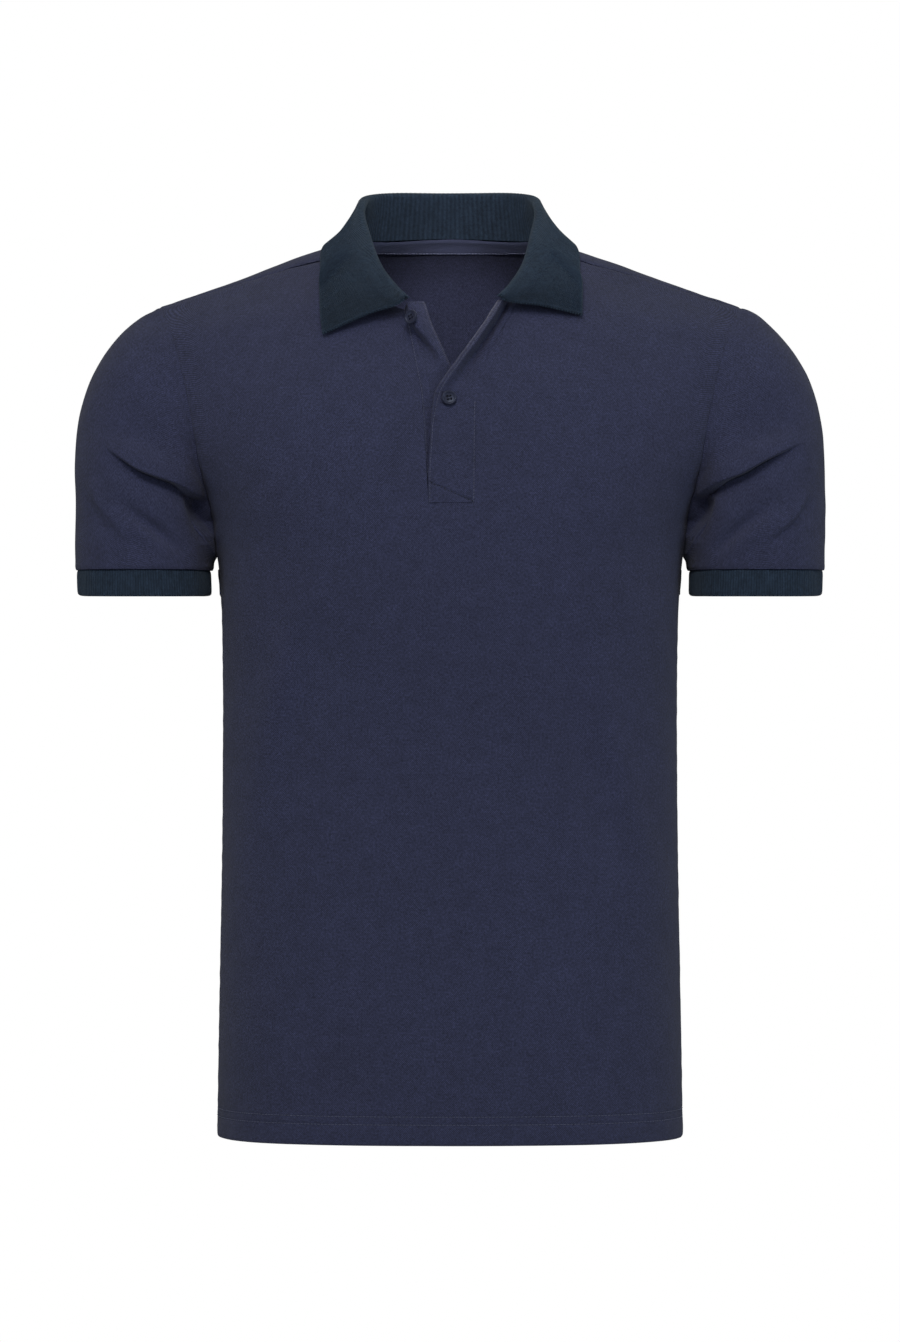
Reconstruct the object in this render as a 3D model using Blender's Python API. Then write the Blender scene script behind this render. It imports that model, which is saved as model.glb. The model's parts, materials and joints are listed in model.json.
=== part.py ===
"""A short-sleeved polo shirt, filled out and open at the neck. Metres, +Z up, facing -Y, and +X is
the wearer's left. The origin is level with the high points of the shoulders, on the centre line."""

import math

import bpy
import numpy as np

# ---- driving sizes, in metres ------------------------------------------
CLOTH = 0.0015
HEM_CLOTH = 0.0027
HEM_DEPTH = 0.0245
RIB = 0.0020
PLACKET_CLOTH = 0.0020
TAPE_CLOTH = 0.0010
SEAM_GAP = 0.0003
BODY_LENGTH_FROM_ORIGIN = 0.712
SLIT_BOTTOM_Z = -0.2100
BUTTON_RADIUS = 0.00585
BUTTON_THICKNESS = 0.0023
SHARP_ANGLE = math.radians(40)

MATERIAL_COLUMNS = ("material", "nodes", "colour", "roughness")
MATERIALS = [
    ("pique", ("front", "back", "sleeve_left", "sleeve_right", "placket_top", "placket_under"),
     (0.034, 0.039, 0.066), 0.90),
    ("rib", ("collar", "cuff_left", "cuff_right"), (0.029, 0.036, 0.052), 0.92),
    ("tape", ("neck_tape",), (0.050, 0.058, 0.080), 0.85),
    ("button", ("button_top", "button_second"), (0.016, 0.019, 0.030), 0.25),
]

for item in list(bpy.data.objects):
    bpy.data.objects.remove(item)
# ---- the body's form ---------------------------------------------------
# Each row crosses half of the garment, from the centre line to the side or to the armhole.
# heading is the row's direction at its end, in degrees in plan from +X. droop is its fall there.
# The reaches are the lengths of the two curve handles.
ROW_COLUMNS = (
    "name", "centre_y", "centre_z", "end_x", "end_y", "end_z",
    "heading", "droop", "reach_centre", "reach_end",
)
FRONT_ROWS = [
    ("hem", -0.1080, -0.7120, 0.1862, 0.0, -0.7120, 90, 0.0, 0.128, 0.074),
    ("hip", -0.1100, -0.6400, 0.1850, 0.0, -0.6400, 90, 0.0, 0.128, 0.076),
    ("belly", -0.1100, -0.5400, 0.1832, 0.0, -0.5400, 90, 0.0, 0.126, 0.076),
    ("waist", -0.1070, -0.4400, 0.1818, 0.0, -0.4400, 90, 0.0, 0.125, 0.074),
    ("ribs", -0.1120, -0.3450, 0.1816, 0.0, -0.3450, 90, 0.0, 0.125, 0.076),
    ("chest", -0.1190, -0.2850, 0.1830, 0.0, -0.2850, 90, 0.0, 0.126, 0.080),
    ("armpit", -0.1210, -0.2470, 0.1858, 0.0, -0.2470, 90, 0.0, 0.126, 0.080),
    ("bust", -0.1205, -0.2140, 0.1905, -0.030, -0.2120, 75, 0.0, 0.122, 0.070),
    ("arm", -0.1170, -0.1760, 0.1990, -0.050, -0.1760, 55, 0.0, 0.112, 0.070),
    ("placket", -0.1090, -0.1350, 0.2045, -0.056, -0.1410, 42, 0.05, 0.104, 0.070),
    ("yoke", -0.0955, -0.0950, 0.2120, -0.051, -0.1060, 30, 0.10, 0.094, 0.072),
    ("neck", -0.0770, -0.0550, 0.2200, -0.037, -0.0775, 20, 0.20, 0.080, 0.076),
    ("collar", -0.0500, -0.0180, 0.2270, -0.018, -0.0590, 8, 0.28, 0.060, 0.090),
]
RIDGE_ROW = ("ridge", 0.0, 0.0200, 0.2325, 0.0, -0.0502, 0, 0.345, 0.045, 0.115)
BACK_ROWS = [
    ("nape", 0.0580, 0.0105, 0.2270, 0.020, -0.0590, -8, 0.28, 0.060, 0.090),
    ("yoke", 0.0840, -0.0140, 0.2200, 0.040, -0.0800, -18, 0.20, 0.080, 0.076),
    ("blades", 0.1010, -0.0560, 0.2130, 0.055, -0.1100, -28, 0.10, 0.094, 0.072),
    ("shoulder", 0.1120, -0.1080, 0.2065, 0.060, -0.1470, -40, 0.05, 0.104, 0.070),
    ("arm", 0.1160, -0.1600, 0.1985, 0.053, -0.1870, -55, 0.0, 0.112, 0.070),
    ("bust", 0.1150, -0.2050, 0.1895, 0.032, -0.2230, -75, 0.0, 0.122, 0.070),
    ("armpit", 0.1110, -0.2470, 0.1858, 0.0, -0.2470, -90, 0.0, 0.126, 0.076),
    ("chest", 0.1050, -0.2850, 0.1830, 0.0, -0.2850, -90, 0.0, 0.126, 0.074),
    ("ribs", 0.0950, -0.3450, 0.1816, 0.0, -0.3450, -90, 0.0, 0.125, 0.070),
    ("waist", 0.0860, -0.4400, 0.1818, 0.0, -0.4400, -90, 0.0, 0.125, 0.064),
    ("belly", 0.0920, -0.5400, 0.1832, 0.0, -0.5400, -90, 0.0, 0.126, 0.066),
    ("hip", 0.1020, -0.6400, 0.1850, 0.0, -0.6400, -90, 0.0, 0.128, 0.070),
    ("hem", 0.1010, -0.7120, 0.1862, 0.0, -0.7120, -90, 0.0, 0.128, 0.070),
]


def curve(knots, values, at, first=None, each=False):
    """Points at the parameters `at` of the smooth curve through `values` at `knots`. first is its
    tangent at the start. With each, values[:, k] is the curve that at[k] is measured on."""
    knots, values, at = np.asarray(knots, float), np.asarray(values, float), np.asarray(at, float)
    step = np.diff(knots).reshape((-1,) + (1,) * (values.ndim - 1))
    slope = np.diff(values, axis=0) / step
    middle = (slope[:-1] * step[1:] + slope[1:] * step[:-1]) / (step[1:] + step[:-1])
    start = slope[:1] if first is None else np.asarray(first)[None]
    tangent = np.concatenate([start, middle, slope[-1:]])
    i = np.clip(np.searchsorted(knots, at, side="right") - 1, 0, len(knots) - 2)
    here, after = ((i, np.arange(len(at))), (i + 1, np.arange(len(at)))) if each else (i, i + 1)
    shape = (-1,) + (1,) * (values[here].ndim - 1)
    h = (knots[i + 1] - knots[i]).reshape(shape)
    s = ((at - knots[i]) / (knots[i + 1] - knots[i])).reshape(shape)
    return (
        (2 * s**3 - 3 * s**2 + 1) * values[here]
        + (s**3 - 2 * s**2 + s) * h * tangent[here]
        + (3 * s**2 - 2 * s**3) * values[after]
        + (s**3 - s**2) * h * tangent[after]
    )


def row_handles(row):
    """The four control points of a row's curve."""
    _, centre_y, centre_z, end_x, end_y, end_z, heading, droop, reach_centre, reach_end = row
    turn = math.radians(heading)
    start = np.array([0.0, centre_y, centre_z])
    end = np.array([end_x, end_y, end_z])
    leave = np.array([reach_centre, 0.0, 0.0])
    arrive = reach_end * np.array([math.cos(turn), math.sin(turn), -droop])
    return np.array([start, start + leave, end - arrive, end])


BODY_ROWS = FRONT_ROWS + [RIDGE_ROW] + BACK_ROWS
BODY_HANDLES = np.array([row_handles(row) for row in BODY_ROWS])
ROW_STEPS = np.linalg.norm(np.diff(BODY_HANDLES[:, [0, 3]], axis=0), axis=2).mean(axis=1)
ROW_AT = np.concatenate([[0.0], np.cumsum(ROW_STEPS)])
AT_RIDGE = ROW_AT[len(FRONT_ROWS)]
AT_FRONT_ARMPIT = ROW_AT[6]
AT_BACK_ARMPIT = ROW_AT[len(FRONT_ROWS) + 7]
AT_BACK_HEM = ROW_AT[-1]


def body(u, t):
    """Points on the outer face of the body. u runs from -1 to 1 across it, 0 at the centre line.
    t runs from the front hem over the shoulder to the back hem."""
    u, t = np.broadcast_arrays(np.asarray(u, float), np.asarray(t, float))
    flat = np.abs(u).ravel()[:, None]
    handles = curve(ROW_AT, BODY_HANDLES, t.ravel())
    points = (
        (1 - flat) ** 3 * handles[:, 0]
        + 3 * (1 - flat) ** 2 * flat * handles[:, 1]
        + 3 * (1 - flat) * flat**2 * handles[:, 2]
        + flat**3 * handles[:, 3]
    )
    points[:, 0] *= np.where(u.ravel() < 0, -1, 1)
    return points.reshape(u.shape + (3,))


def unit(vectors):
    return vectors / np.maximum(np.linalg.norm(vectors, axis=-1, keepdims=True), 1e-12)


def normals_of(surface, a, b, step_a, step_b):
    """Unit normals of surface(a, b), from its differences."""
    along_a = surface(a + step_a, b) - surface(a - step_a, b)
    along_b = surface(a, b + step_b) - surface(a, b - step_b)
    return unit(np.cross(along_a, along_b))


def body_normals(u, t):
    return normals_of(body, np.asarray(u, float), np.asarray(t, float), 1e-3, 1e-4)


def find_on_body(first, second, axes, low, high):
    """(u, t) of the body's points whose two coordinates `axes` are `first` and `second`,
    with t between low and high, where the second one grows with t."""
    first, second = np.broadcast_arrays(np.asarray(first, float), np.asarray(second, float))
    wanted = np.stack([np.abs(first.ravel()), second.ravel()], axis=1)
    rows = np.linspace(low, high, 400)
    t = np.interp(wanted[:, 1], body(0.3, rows)[:, axes[1]], rows)
    steps = np.linspace(0, 1, 60)
    u = np.interp(wanted[:, 0], body(steps, (low + high) / 2)[:, 0], steps)
    for _ in range(14):
        here = body(u, t)[:, list(axes)]
        by_u = (body(u + 1e-5, t)[:, list(axes)] - here) / 1e-5
        by_t = (body(u, t + 1e-5)[:, list(axes)] - here) / 1e-5
        miss = wanted - here
        size = by_u[:, 0] * by_t[:, 1] - by_u[:, 1] * by_t[:, 0]
        size = np.where(np.abs(size) < 1e-3, 1e-3 * np.sign(size + 1e-12), size)
        move_u = (miss[:, 0] * by_t[:, 1] - miss[:, 1] * by_t[:, 0]) / size
        move_t = (by_u[:, 0] * miss[:, 1] - by_u[:, 1] * miss[:, 0]) / size
        u = np.clip(u + np.clip(move_u, -0.15, 0.15), 0.0, 1.1)
        t = np.clip(t + np.clip(move_t, -0.02, 0.02), low - 0.03, high + 0.03)
    u = u * np.where(first.ravel() < 0, -1, 1)
    return u.reshape(first.shape), t.reshape(first.shape)


# ---- the sleeves' form -------------------------------------------------
# A ring runs from its inner point, next to the body, over the front and the outer point.
RING_COLUMNS = (
    "name", "outer_x", "outer_z", "inner_x", "inner_z", "front_y", "back_y", "squareness",
)
SLEEVE_RINGS = [
    ("cap", 0.2640, -0.0725, 0.1868, -0.2490, -0.0625, 0.0640, 2.15),
    ("crown", 0.2865, -0.1075, 0.1874, -0.2505, -0.0645, 0.0650, 2.25),
    ("upper", 0.2972, -0.1500, 0.1882, -0.2520, -0.0640, 0.0640, 2.40),
    ("lower", 0.2992, -0.2050, 0.1890, -0.2545, -0.0620, 0.0620, 2.60),
    ("hem", 0.2992, -0.2603, 0.1895, -0.2603, -0.0600, 0.0600, 2.80),
]


def ring_points(row, turn):
    """Points of a sleeve ring at the angles `turn`: 0 is the inner point, pi the outer one,
    and the front lies between them."""
    _, outer_x, outer_z, inner_x, inner_z, front_y, back_y, squareness = row
    across, round_ = np.cos(turn), np.sin(turn)
    across = np.sign(across) * np.abs(across) ** (2 / squareness)
    swing = np.abs(round_) ** (2 / squareness)
    return np.stack(
        [
            (inner_x + outer_x) / 2 + across * (inner_x - outer_x) / 2,
            swing * np.where(round_ >= 0, front_y, back_y),
            (inner_z + outer_z) / 2 + across * (inner_z - outer_z) / 2,
        ],
        axis=-1,
    )


# How far down the sleeve, from 0 to 1, the armhole and each ring lie.
RING_AT = [0.0, 0.22, 0.39, 0.57, 0.78, 1.0]
ARMHOLE_FRONT_AT = np.linspace(AT_FRONT_ARMPIT, AT_RIDGE, 400)
ARMHOLE_BACK_AT = np.linspace(AT_BACK_ARMPIT, AT_RIDGE, 400)
ARMHOLE_FRONT_Z = body(1.0, ARMHOLE_FRONT_AT)[:, 2]
ARMHOLE_BACK_Z = body(1.0, ARMHOLE_BACK_AT)[:, 2]
ARMPIT_Z, SHOULDER_TIP_Z = ARMHOLE_FRONT_Z[0], ARMHOLE_FRONT_Z[-1]


def armhole_at(turn):
    """The body's t where the sleeve's angle `turn` meets the armhole."""
    z = (ARMPIT_Z + SHOULDER_TIP_Z) / 2 - (SHOULDER_TIP_Z - ARMPIT_Z) / 2 * np.cos(turn)
    front = np.interp(z, ARMHOLE_FRONT_Z, ARMHOLE_FRONT_AT)
    back = np.interp(z, ARMHOLE_BACK_Z, ARMHOLE_BACK_AT)
    return np.where(np.sin(turn) >= 0, front, back)


def armhole_turn(t):
    """The sleeve's angle where the body's t meets the armhole."""
    z = body(1.0, t)[..., 2]
    middle, half = (ARMPIT_Z + SHOULDER_TIP_Z) / 2, (SHOULDER_TIP_Z - ARMPIT_Z) / 2
    turn = np.arccos(np.clip((middle - z) / half, -1, 1))
    return np.where(np.asarray(t) <= AT_RIDGE, turn, 2 * math.pi - turn)


def sleeve(turn, s):
    """Points on the outer face of the +X sleeve. turn goes round it, s from 0 at the armhole
    to 1 at the hem."""
    turn, s = np.broadcast_arrays(np.asarray(turn, float), np.asarray(s, float))
    round_, along = turn.ravel(), s.ravel()
    at = armhole_at(round_)
    top_share = ((1 - np.cos(round_)) / 2) ** 1.5
    start = body(1.0, at) + SEAM_GAP * body_normals(0.999, at) * (1 - top_share)[:, None]
    rings = np.stack([start] + [ring_points(row, round_) for row in SLEEVE_RINGS], axis=1)
    leave = unit(body(1.0, at) - body(0.97, at))
    first_gap = (rings[:, 1] - rings[:, 0]) / RING_AT[1]
    reach = np.linalg.norm(first_gap, axis=1, keepdims=True)
    blend = top_share[:, None]
    first = leave * reach * blend + first_gap * (1 - blend)
    points = curve(RING_AT, np.swapaxes(rings, 0, 1), along, first, each=True)
    return points.reshape(turn.shape + (3,))


def sleeve_normals(turn, s):
    return -normals_of(sleeve, np.asarray(turn, float), np.asarray(s, float), 1e-3, 1e-4)


# ---- the neckline ------------------------------------------------------
NECK_HALF_WIDTH = 0.078
NECK_FRONT_DEPTH = 0.079
NECK_BACK_DEPTH = 0.0625
NECK_FRONT_SQUARENESS = 3.0
NECK_BACK_SQUARENESS = 2.0


def neck_plan(turn, grow=0.0):
    """The neckline in plan. turn is 0 at the centre front, pi/2 at +X and pi at the centre back."""
    ahead = np.cos(turn) >= 0
    power = 2 / np.where(ahead, NECK_FRONT_SQUARENESS, NECK_BACK_SQUARENESS)
    depth = np.where(ahead, NECK_FRONT_DEPTH, NECK_BACK_DEPTH) + grow
    x = np.sign(np.sin(turn)) * np.abs(np.sin(turn)) ** power * (NECK_HALF_WIDTH + grow)
    y = -np.sign(np.cos(turn)) * np.abs(np.cos(turn)) ** power * depth
    return x, y


def neck_at(turn, grow=0.0):
    """(u, t) on the body below the neckline's plan, widened by grow."""
    x, y = neck_plan(np.asarray(turn, float), grow)
    return find_on_body(x, y, (0, 1), AT_RIDGE - 0.14, AT_RIDGE + 0.12)


# ---- the collar's form -------------------------------------------------
# Stations run along the collar from the wearer's right front end (-X), round the back, to the
# left front end (+X). seam is the neckline's turn in degrees, or None at the ends, where the
# collar stands on the placket's top edge. roll is the fold's top. The leaf's middle and edge lie
# above the body by hover, at x and at a height z (view "front") or a depth y (view "top").
COLLAR_COLUMNS = ("name", "at", "seam", "roll", "middle", "edge")
COLLAR_END_SEAMS = {"right end": (-0.0352, -0.0865, -0.0484), "left end": (0.0395, -0.0875, -0.0468)}
COLLAR_STATIONS = [
    ("right end", 0.000, None, (-0.0352, -0.0935, -0.0472),
     ("front", -0.0640, -0.0655, 0.010), ("front", -0.0995, -0.0775, 0.004)),
    ("right front", 0.090, -31.5, (-0.0435, -0.0815, -0.0375),
     ("front", -0.0725, -0.0500, 0.012), ("front", -0.1015, -0.0600, 0.004)),
    ("right quarter", 0.180, -45.0, (-0.0550, -0.0650, -0.0210),
     ("front", -0.0800, -0.0320, 0.013), ("front", -0.1025, -0.0410, 0.004)),
    ("right bend", 0.275, -65.0, (-0.0642, -0.0390, 0.0035),
     ("top", -0.0820, -0.0290, 0.011), ("top", -0.1022, -0.0350, 0.003)),
    ("right side", 0.365, -90.0, (-0.0702, -0.0010, 0.0320),
     ("top", -0.0815, 0.0000, 0.0110), ("top", -0.0990, 0.0000, 0.003)),
    ("right nape", 0.440, -130.0, (-0.0585, 0.0350, 0.0430),
     ("top", -0.0685, 0.0410, 0.016), ("top", -0.0800, 0.0480, 0.004)),
    ("back", 0.510, -180.0, (0.0, 0.0605, 0.0455),
     ("top", 0.0, 0.0650, 0.0165), ("top", 0.0, 0.0770, 0.004)),
    ("left nape", 0.580, -230.0, (0.0585, 0.0350, 0.0430),
     ("top", 0.0685, 0.0410, 0.016), ("top", 0.0800, 0.0480, 0.004)),
    ("left side", 0.655, -270.0, (0.0697, -0.0010, 0.0315),
     ("top", 0.0815, 0.0000, 0.0110), ("top", 0.0992, 0.0000, 0.003)),
    ("left bend", 0.740, -295.0, (0.0652, -0.0380, 0.0050),
     ("top", 0.0820, -0.0290, 0.011), ("top", 0.1028, -0.0350, 0.003)),
    ("left quarter", 0.825, -312.0, (0.0585, -0.0630, -0.0195),
     ("front", 0.0820, -0.0290, 0.013), ("front", 0.1038, -0.0360, 0.004)),
    ("left front", 0.905, -321.0, (0.0495, -0.0810, -0.0350),
     ("front", 0.0760, -0.0450, 0.012), ("front", 0.1038, -0.0490, 0.004)),
    ("left end", 1.000, None, (0.0405, -0.0935, -0.0465),
     ("front", 0.0700, -0.0585, 0.010), ("front", 0.1034, -0.0625, 0.004)),
]
COLLAR_LIFT = 0.0020
ROLL_RADIUS, END_ROLL_RADIUS = 0.0030, 0.0016
STAND_SHARE, ROLL_SHARE = 0.34, 0.18


def above_body(view, x, other, hover):
    """The point at hover above the body, on the front (given x and z) or from above (x and y)."""
    axes = (0, 2) if view == "front" else (0, 1)
    low, high = (AT_FRONT_ARMPIT, AT_RIDGE) if view == "front" else (ROW_AT[8], ROW_AT[-8])
    u, t = find_on_body([x], [other], axes, low, high)
    return (body(u, t) + hover * body_normals(u, t))[0]


def collar_guides():
    """The seam, roll, leaf middle and leaf edge points at each station."""
    guides = []
    for name, _, seam, roll, middle, edge in COLLAR_STATIONS:
        if seam is None:
            foot = np.array(COLLAR_END_SEAMS[name])
        else:
            u, t = neck_at([math.radians(seam)])
            foot = (body(u, t) + COLLAR_LIFT * body_normals(u, t))[0]
        guides.append([foot, np.array(roll), above_body(*middle), above_body(*edge)])
    return np.array(guides)


COLLAR_AT = [station[1] for station in COLLAR_STATIONS]
COLLAR_GUIDES = collar_guides()


def collar(a, b):
    """Points halfway through the collar. a runs along it, from the right front end (0) to the left
    one (1). b runs across it, from the seam (0) over the roll to the leaf's edge (1)."""
    a, b = np.broadcast_arrays(np.asarray(a, float), np.asarray(b, float))
    along, across = a.ravel(), b.ravel()
    foot, roll, middle, edge = np.moveaxis(curve(COLLAR_AT, COLLAR_GUIDES, along), 1, 0)
    ahead = curve(COLLAR_AT, COLLAR_GUIDES[:, 1], along + 1e-3)
    behind = curve(COLLAR_AT, COLLAR_GUIDES[:, 1], along - 1e-3)
    lengthwise = unit(ahead - behind)
    up = roll - foot
    up = unit(up - (up * lengthwise).sum(axis=1, keepdims=True) * lengthwise)
    out = edge - foot
    out = out - (out * lengthwise).sum(axis=1, keepdims=True) * lengthwise
    out = unit(out - (out * up).sum(axis=1, keepdims=True) * up)
    tight = np.abs(2 * along - 1)[:, None] ** 6
    radius = ROLL_RADIUS + (END_ROLL_RADIUS - ROLL_RADIUS) * tight
    inner_top = roll - radius * (up + out)
    outer_top = roll - radius * (up - out)
    down = unit(middle - outer_top)
    points = np.empty((len(along), 3))

    stand = across < STAND_SHARE
    share = (across / STAND_SHARE)[:, None]
    points[stand] = curve(
        [0.0, 1.0], np.stack([foot, inner_top]), across / STAND_SHARE, inner_top - foot, each=True
    )[stand]
    points[stand] += (
        (share**2 * (share - 1))
        * (np.linalg.norm(inner_top - foot, axis=1, keepdims=True) * up - (inner_top - foot))
    )[stand]

    over = (across >= STAND_SHARE) & (across <= STAND_SHARE + ROLL_SHARE)
    swing = math.pi * ((across - STAND_SHARE) / ROLL_SHARE)[:, None]
    points[over] = (
        (inner_top + outer_top) / 2
        + radius * (np.sin(swing) * up - np.cos(swing) * out)
    )[over]

    leaf = across > STAND_SHARE + ROLL_SHARE
    rest = (across - STAND_SHARE - ROLL_SHARE) / (1 - STAND_SHARE - ROLL_SHARE)
    reach = 2 * np.linalg.norm(middle - outer_top, axis=1, keepdims=True)
    first = reach * unit(down - 0.7 * up)
    points[leaf] = curve(
        [0.0, 0.5, 1.0], np.stack([outer_top, middle, edge]), rest, first, each=True
    )[leaf]
    return points.reshape(a.shape + (3,))


def collar_normals(a, b):
    return normals_of(collar, np.asarray(a, float), np.asarray(b, float), 1e-3, 1e-3)


# ---- the placket's form ------------------------------------------------
# Each row crosses a placket strip, from its seam over a knee and the ridge to its free edge.
# z is the seam's height, and fall is how far the free edge lies below it. Each out is how far
# that point stands forward of the body.
PLACKET_COLUMNS = (
    "z", "fall", "seam_x", "seam_out", "knee_x", "knee_out", "ridge_x", "ridge_out", "free_x",
    "free_out",
)
TOP_PLACKET_ROWS = [
    (-0.2096, 0.0, 0.0195, 0.0003, 0.0080, 0.0003, -0.0130, 0.0003, -0.0171, 0.0003),
    (-0.1844, 0.0, 0.0197, 0.0003, 0.0080, 0.0003, -0.0130, 0.0003, -0.0170, 0.0003),
    (-0.1608, 0.0, 0.0199, 0.0003, 0.0080, 0.0003, -0.0118, 0.0004, -0.0156, 0.0003),
    (-0.1333, 0.0, 0.0203, 0.0003, 0.0070, 0.0003, -0.0098, 0.0008, -0.0138, 0.0004),
    (-0.1220, 0.0, 0.0212, 0.0003, 0.0065, 0.0006, -0.0070, 0.0022, -0.0117, 0.0010),
    (-0.1100, 0.0, 0.0237, 0.0003, 0.0120, 0.0014, 0.0015, 0.0052, -0.0045, 0.0032),
    (-0.0970, 0.0, 0.0286, 0.0003, 0.0195, 0.0022, 0.0105, 0.0085, 0.0050, 0.0062),
    (-0.0820, 0.0, 0.0360, 0.0002, 0.0285, 0.0035, 0.0212, 0.0120, 0.0158, 0.0094),
    (-0.0660, 0.0004, 0.0452, 0.0001, 0.0380, 0.0045, 0.0318, 0.0150, 0.0266, 0.0122),
    (-0.0469, 0.0026, 0.0552, 0.0000, 0.0480, 0.0055, 0.0420, 0.0172, 0.0370, 0.0140),
]
UNDER_PLACKET_ROWS = [
    (-0.2094, 0.0, -0.0169, -0.0027, -0.0080, -0.0028, 0.0040, -0.0028, 0.0171, -0.0028),
    (-0.1765, 0.0, -0.0188, -0.0016, -0.0150, -0.0028, 0.0030, -0.0028, 0.0156, -0.0028),
    (-0.1450, 0.0, -0.0209, 0.0000, -0.0165, -0.0024, 0.0000, -0.0028, 0.0117, -0.0028),
    (-0.1220, 0.0, -0.0230, 0.0000, -0.0175, -0.0010, -0.0030, -0.0024, 0.0085, -0.0026),
    (-0.1080, 0.0, -0.0256, 0.0000, -0.0175, 0.0002, -0.0040, -0.0004, 0.0040, -0.0014),
    (-0.0966, 0.0, -0.0278, 0.0000, -0.0180, 0.0008, -0.0064, 0.0032, -0.0016, 0.0018),
    (-0.0820, 0.0, -0.0306, 0.0000, -0.0240, 0.0020, -0.0165, 0.0080, -0.0080, 0.0044),
    (-0.0690, -0.0016, -0.0330, 0.0000, -0.0305, 0.0045, -0.0265, 0.0122, -0.0143, 0.0066),
    (-0.0559, -0.0056, -0.0365, 0.0000, -0.0350, 0.0075, -0.0318, 0.0160, -0.0197, 0.0088),
]
KNEE_AT, RIDGE_AT = 0.30, 0.72


def placket(rows, r, s):
    """Points on the outer face of a placket strip. r runs up it and s across it, from the seam
    edge (0) to the free edge (1)."""
    r, s = np.broadcast_arrays(np.asarray(r, float), np.asarray(s, float))
    table = np.array(rows)
    heights = (table[:, 0] - table[0, 0]) / (table[-1, 0] - table[0, 0])
    here = curve(heights, table, r.ravel())
    section = here[:, 2:].reshape(-1, 4, 2).swapaxes(0, 1)
    x, out = curve([0.0, KNEE_AT, RIDGE_AT, 1.0], section, s.ravel(), each=True).T
    z = here[:, 0] - here[:, 1] * np.sin(math.pi / 2 * s.ravel())
    points = body(*find_on_body(x, z, (0, 2), AT_FRONT_ARMPIT, AT_RIDGE))
    points[:, 1] -= out
    return points.reshape(r.shape + (3,))


def placket_normals(rows, r, s):
    return normals_of(lambda a, b: placket(rows, a, b), r, s, 1e-3, 1e-3)


# ---- folds -------------------------------------------------------------
# Each fold follows a path in the front view, given as (x, z) points, on the +X or the -X side of
# the front or the back. height is along the surface's normal: a ridge is over 0, a trough below.
FOLD_COLUMNS = ("piece", "height", "width", "path")
FOLDS = [
    ("sleeve front left", -0.0075, 0.0085,
     ((0.279, -0.157), (0.262, -0.165), (0.238, -0.179), (0.214, -0.191), (0.200, -0.203))),
    ("sleeve front left", 0.0030, 0.0110,
     ((0.275, -0.146), (0.255, -0.153), (0.232, -0.165), (0.210, -0.180))),
    ("sleeve front left", -0.0022, 0.0090,
     ((0.286, -0.192), (0.276, -0.206), (0.257, -0.226), (0.245, -0.240))),
    ("sleeve front right", -0.0075, 0.0085,
     ((-0.276, -0.160), (-0.258, -0.171), (-0.235, -0.181), (-0.212, -0.195), (-0.199, -0.206))),
    ("sleeve front right", 0.0030, 0.0110,
     ((-0.270, -0.147), (-0.250, -0.157), (-0.229, -0.168), (-0.209, -0.183))),
    ("sleeve front right", -0.0022, 0.0090,
     ((-0.288, -0.190), (-0.275, -0.212), (-0.257, -0.232), (-0.247, -0.242))),
    ("sleeve back left", -0.0065, 0.0090,
     ((0.272, -0.150), (0.252, -0.163), (0.228, -0.178), (0.206, -0.196))),
    ("sleeve back right", -0.0060, 0.0095,
     ((-0.275, -0.155), (-0.254, -0.168), (-0.231, -0.183), (-0.207, -0.198))),
    ("front", 0.0022, 0.0180,
     ((-0.112, -0.270), (-0.126, -0.315), (-0.148, -0.430), (-0.164, -0.500))),
    ("front", -0.0020, 0.0170,
     ((-0.094, -0.285), (-0.118, -0.375), (-0.137, -0.440))),
    ("front", 0.0022, 0.0180,
     ((0.098, -0.275), (0.117, -0.360), (0.148, -0.475), (0.168, -0.560))),
    ("front", -0.0020, 0.0170,
     ((0.074, -0.275), (0.117, -0.440), (0.140, -0.515))),
    ("back", 0.0022, 0.0200,
     ((-0.120, -0.250), (-0.110, -0.360), (-0.135, -0.500))),
    ("back", -0.0022, 0.0200,
     ((-0.080, -0.300), (-0.070, -0.420), (-0.095, -0.560))),
    ("back", 0.0020, 0.0200,
     ((0.125, -0.255), (0.105, -0.380), (0.128, -0.540))),
    ("back", -0.0022, 0.0210,
     ((0.060, -0.330), (0.085, -0.450), (0.080, -0.590))),
]


def fold_height(piece, points):
    """How far the piece's folds move the points along the normal."""
    height = np.zeros(points.shape[:-1])
    for where, size, width, path in FOLDS:
        if where != piece:
            continue
        nodes = np.array(path)
        lengths = np.linalg.norm(np.diff(nodes, axis=0), axis=1)
        starts = np.concatenate([[0.0], np.cumsum(lengths)])
        best = np.full(height.shape, np.inf)
        share = np.zeros(height.shape)
        for start, end, length, before in zip(nodes[:-1], nodes[1:], lengths, starts):
            offset = points[..., [0, 2]] - start
            along = np.clip(offset @ (end - start) / length**2, 0, 1)
            away = np.linalg.norm(offset - along[..., None] * (end - start), axis=-1)
            share = np.where(away < best, (before + along * length) / starts[-1], share)
            best = np.minimum(best, away)
        height += size * np.sin(math.pi * (0.12 + 0.76 * share)) * np.exp(-((best / width) ** 2))
    return height


def folded_body(u, t):
    points = body(u, t)
    front = np.asarray(t) <= AT_RIDGE
    height = np.where(front, fold_height("front", points), fold_height("back", points))
    return points + body_normals(u, t) * height[..., None]


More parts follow.
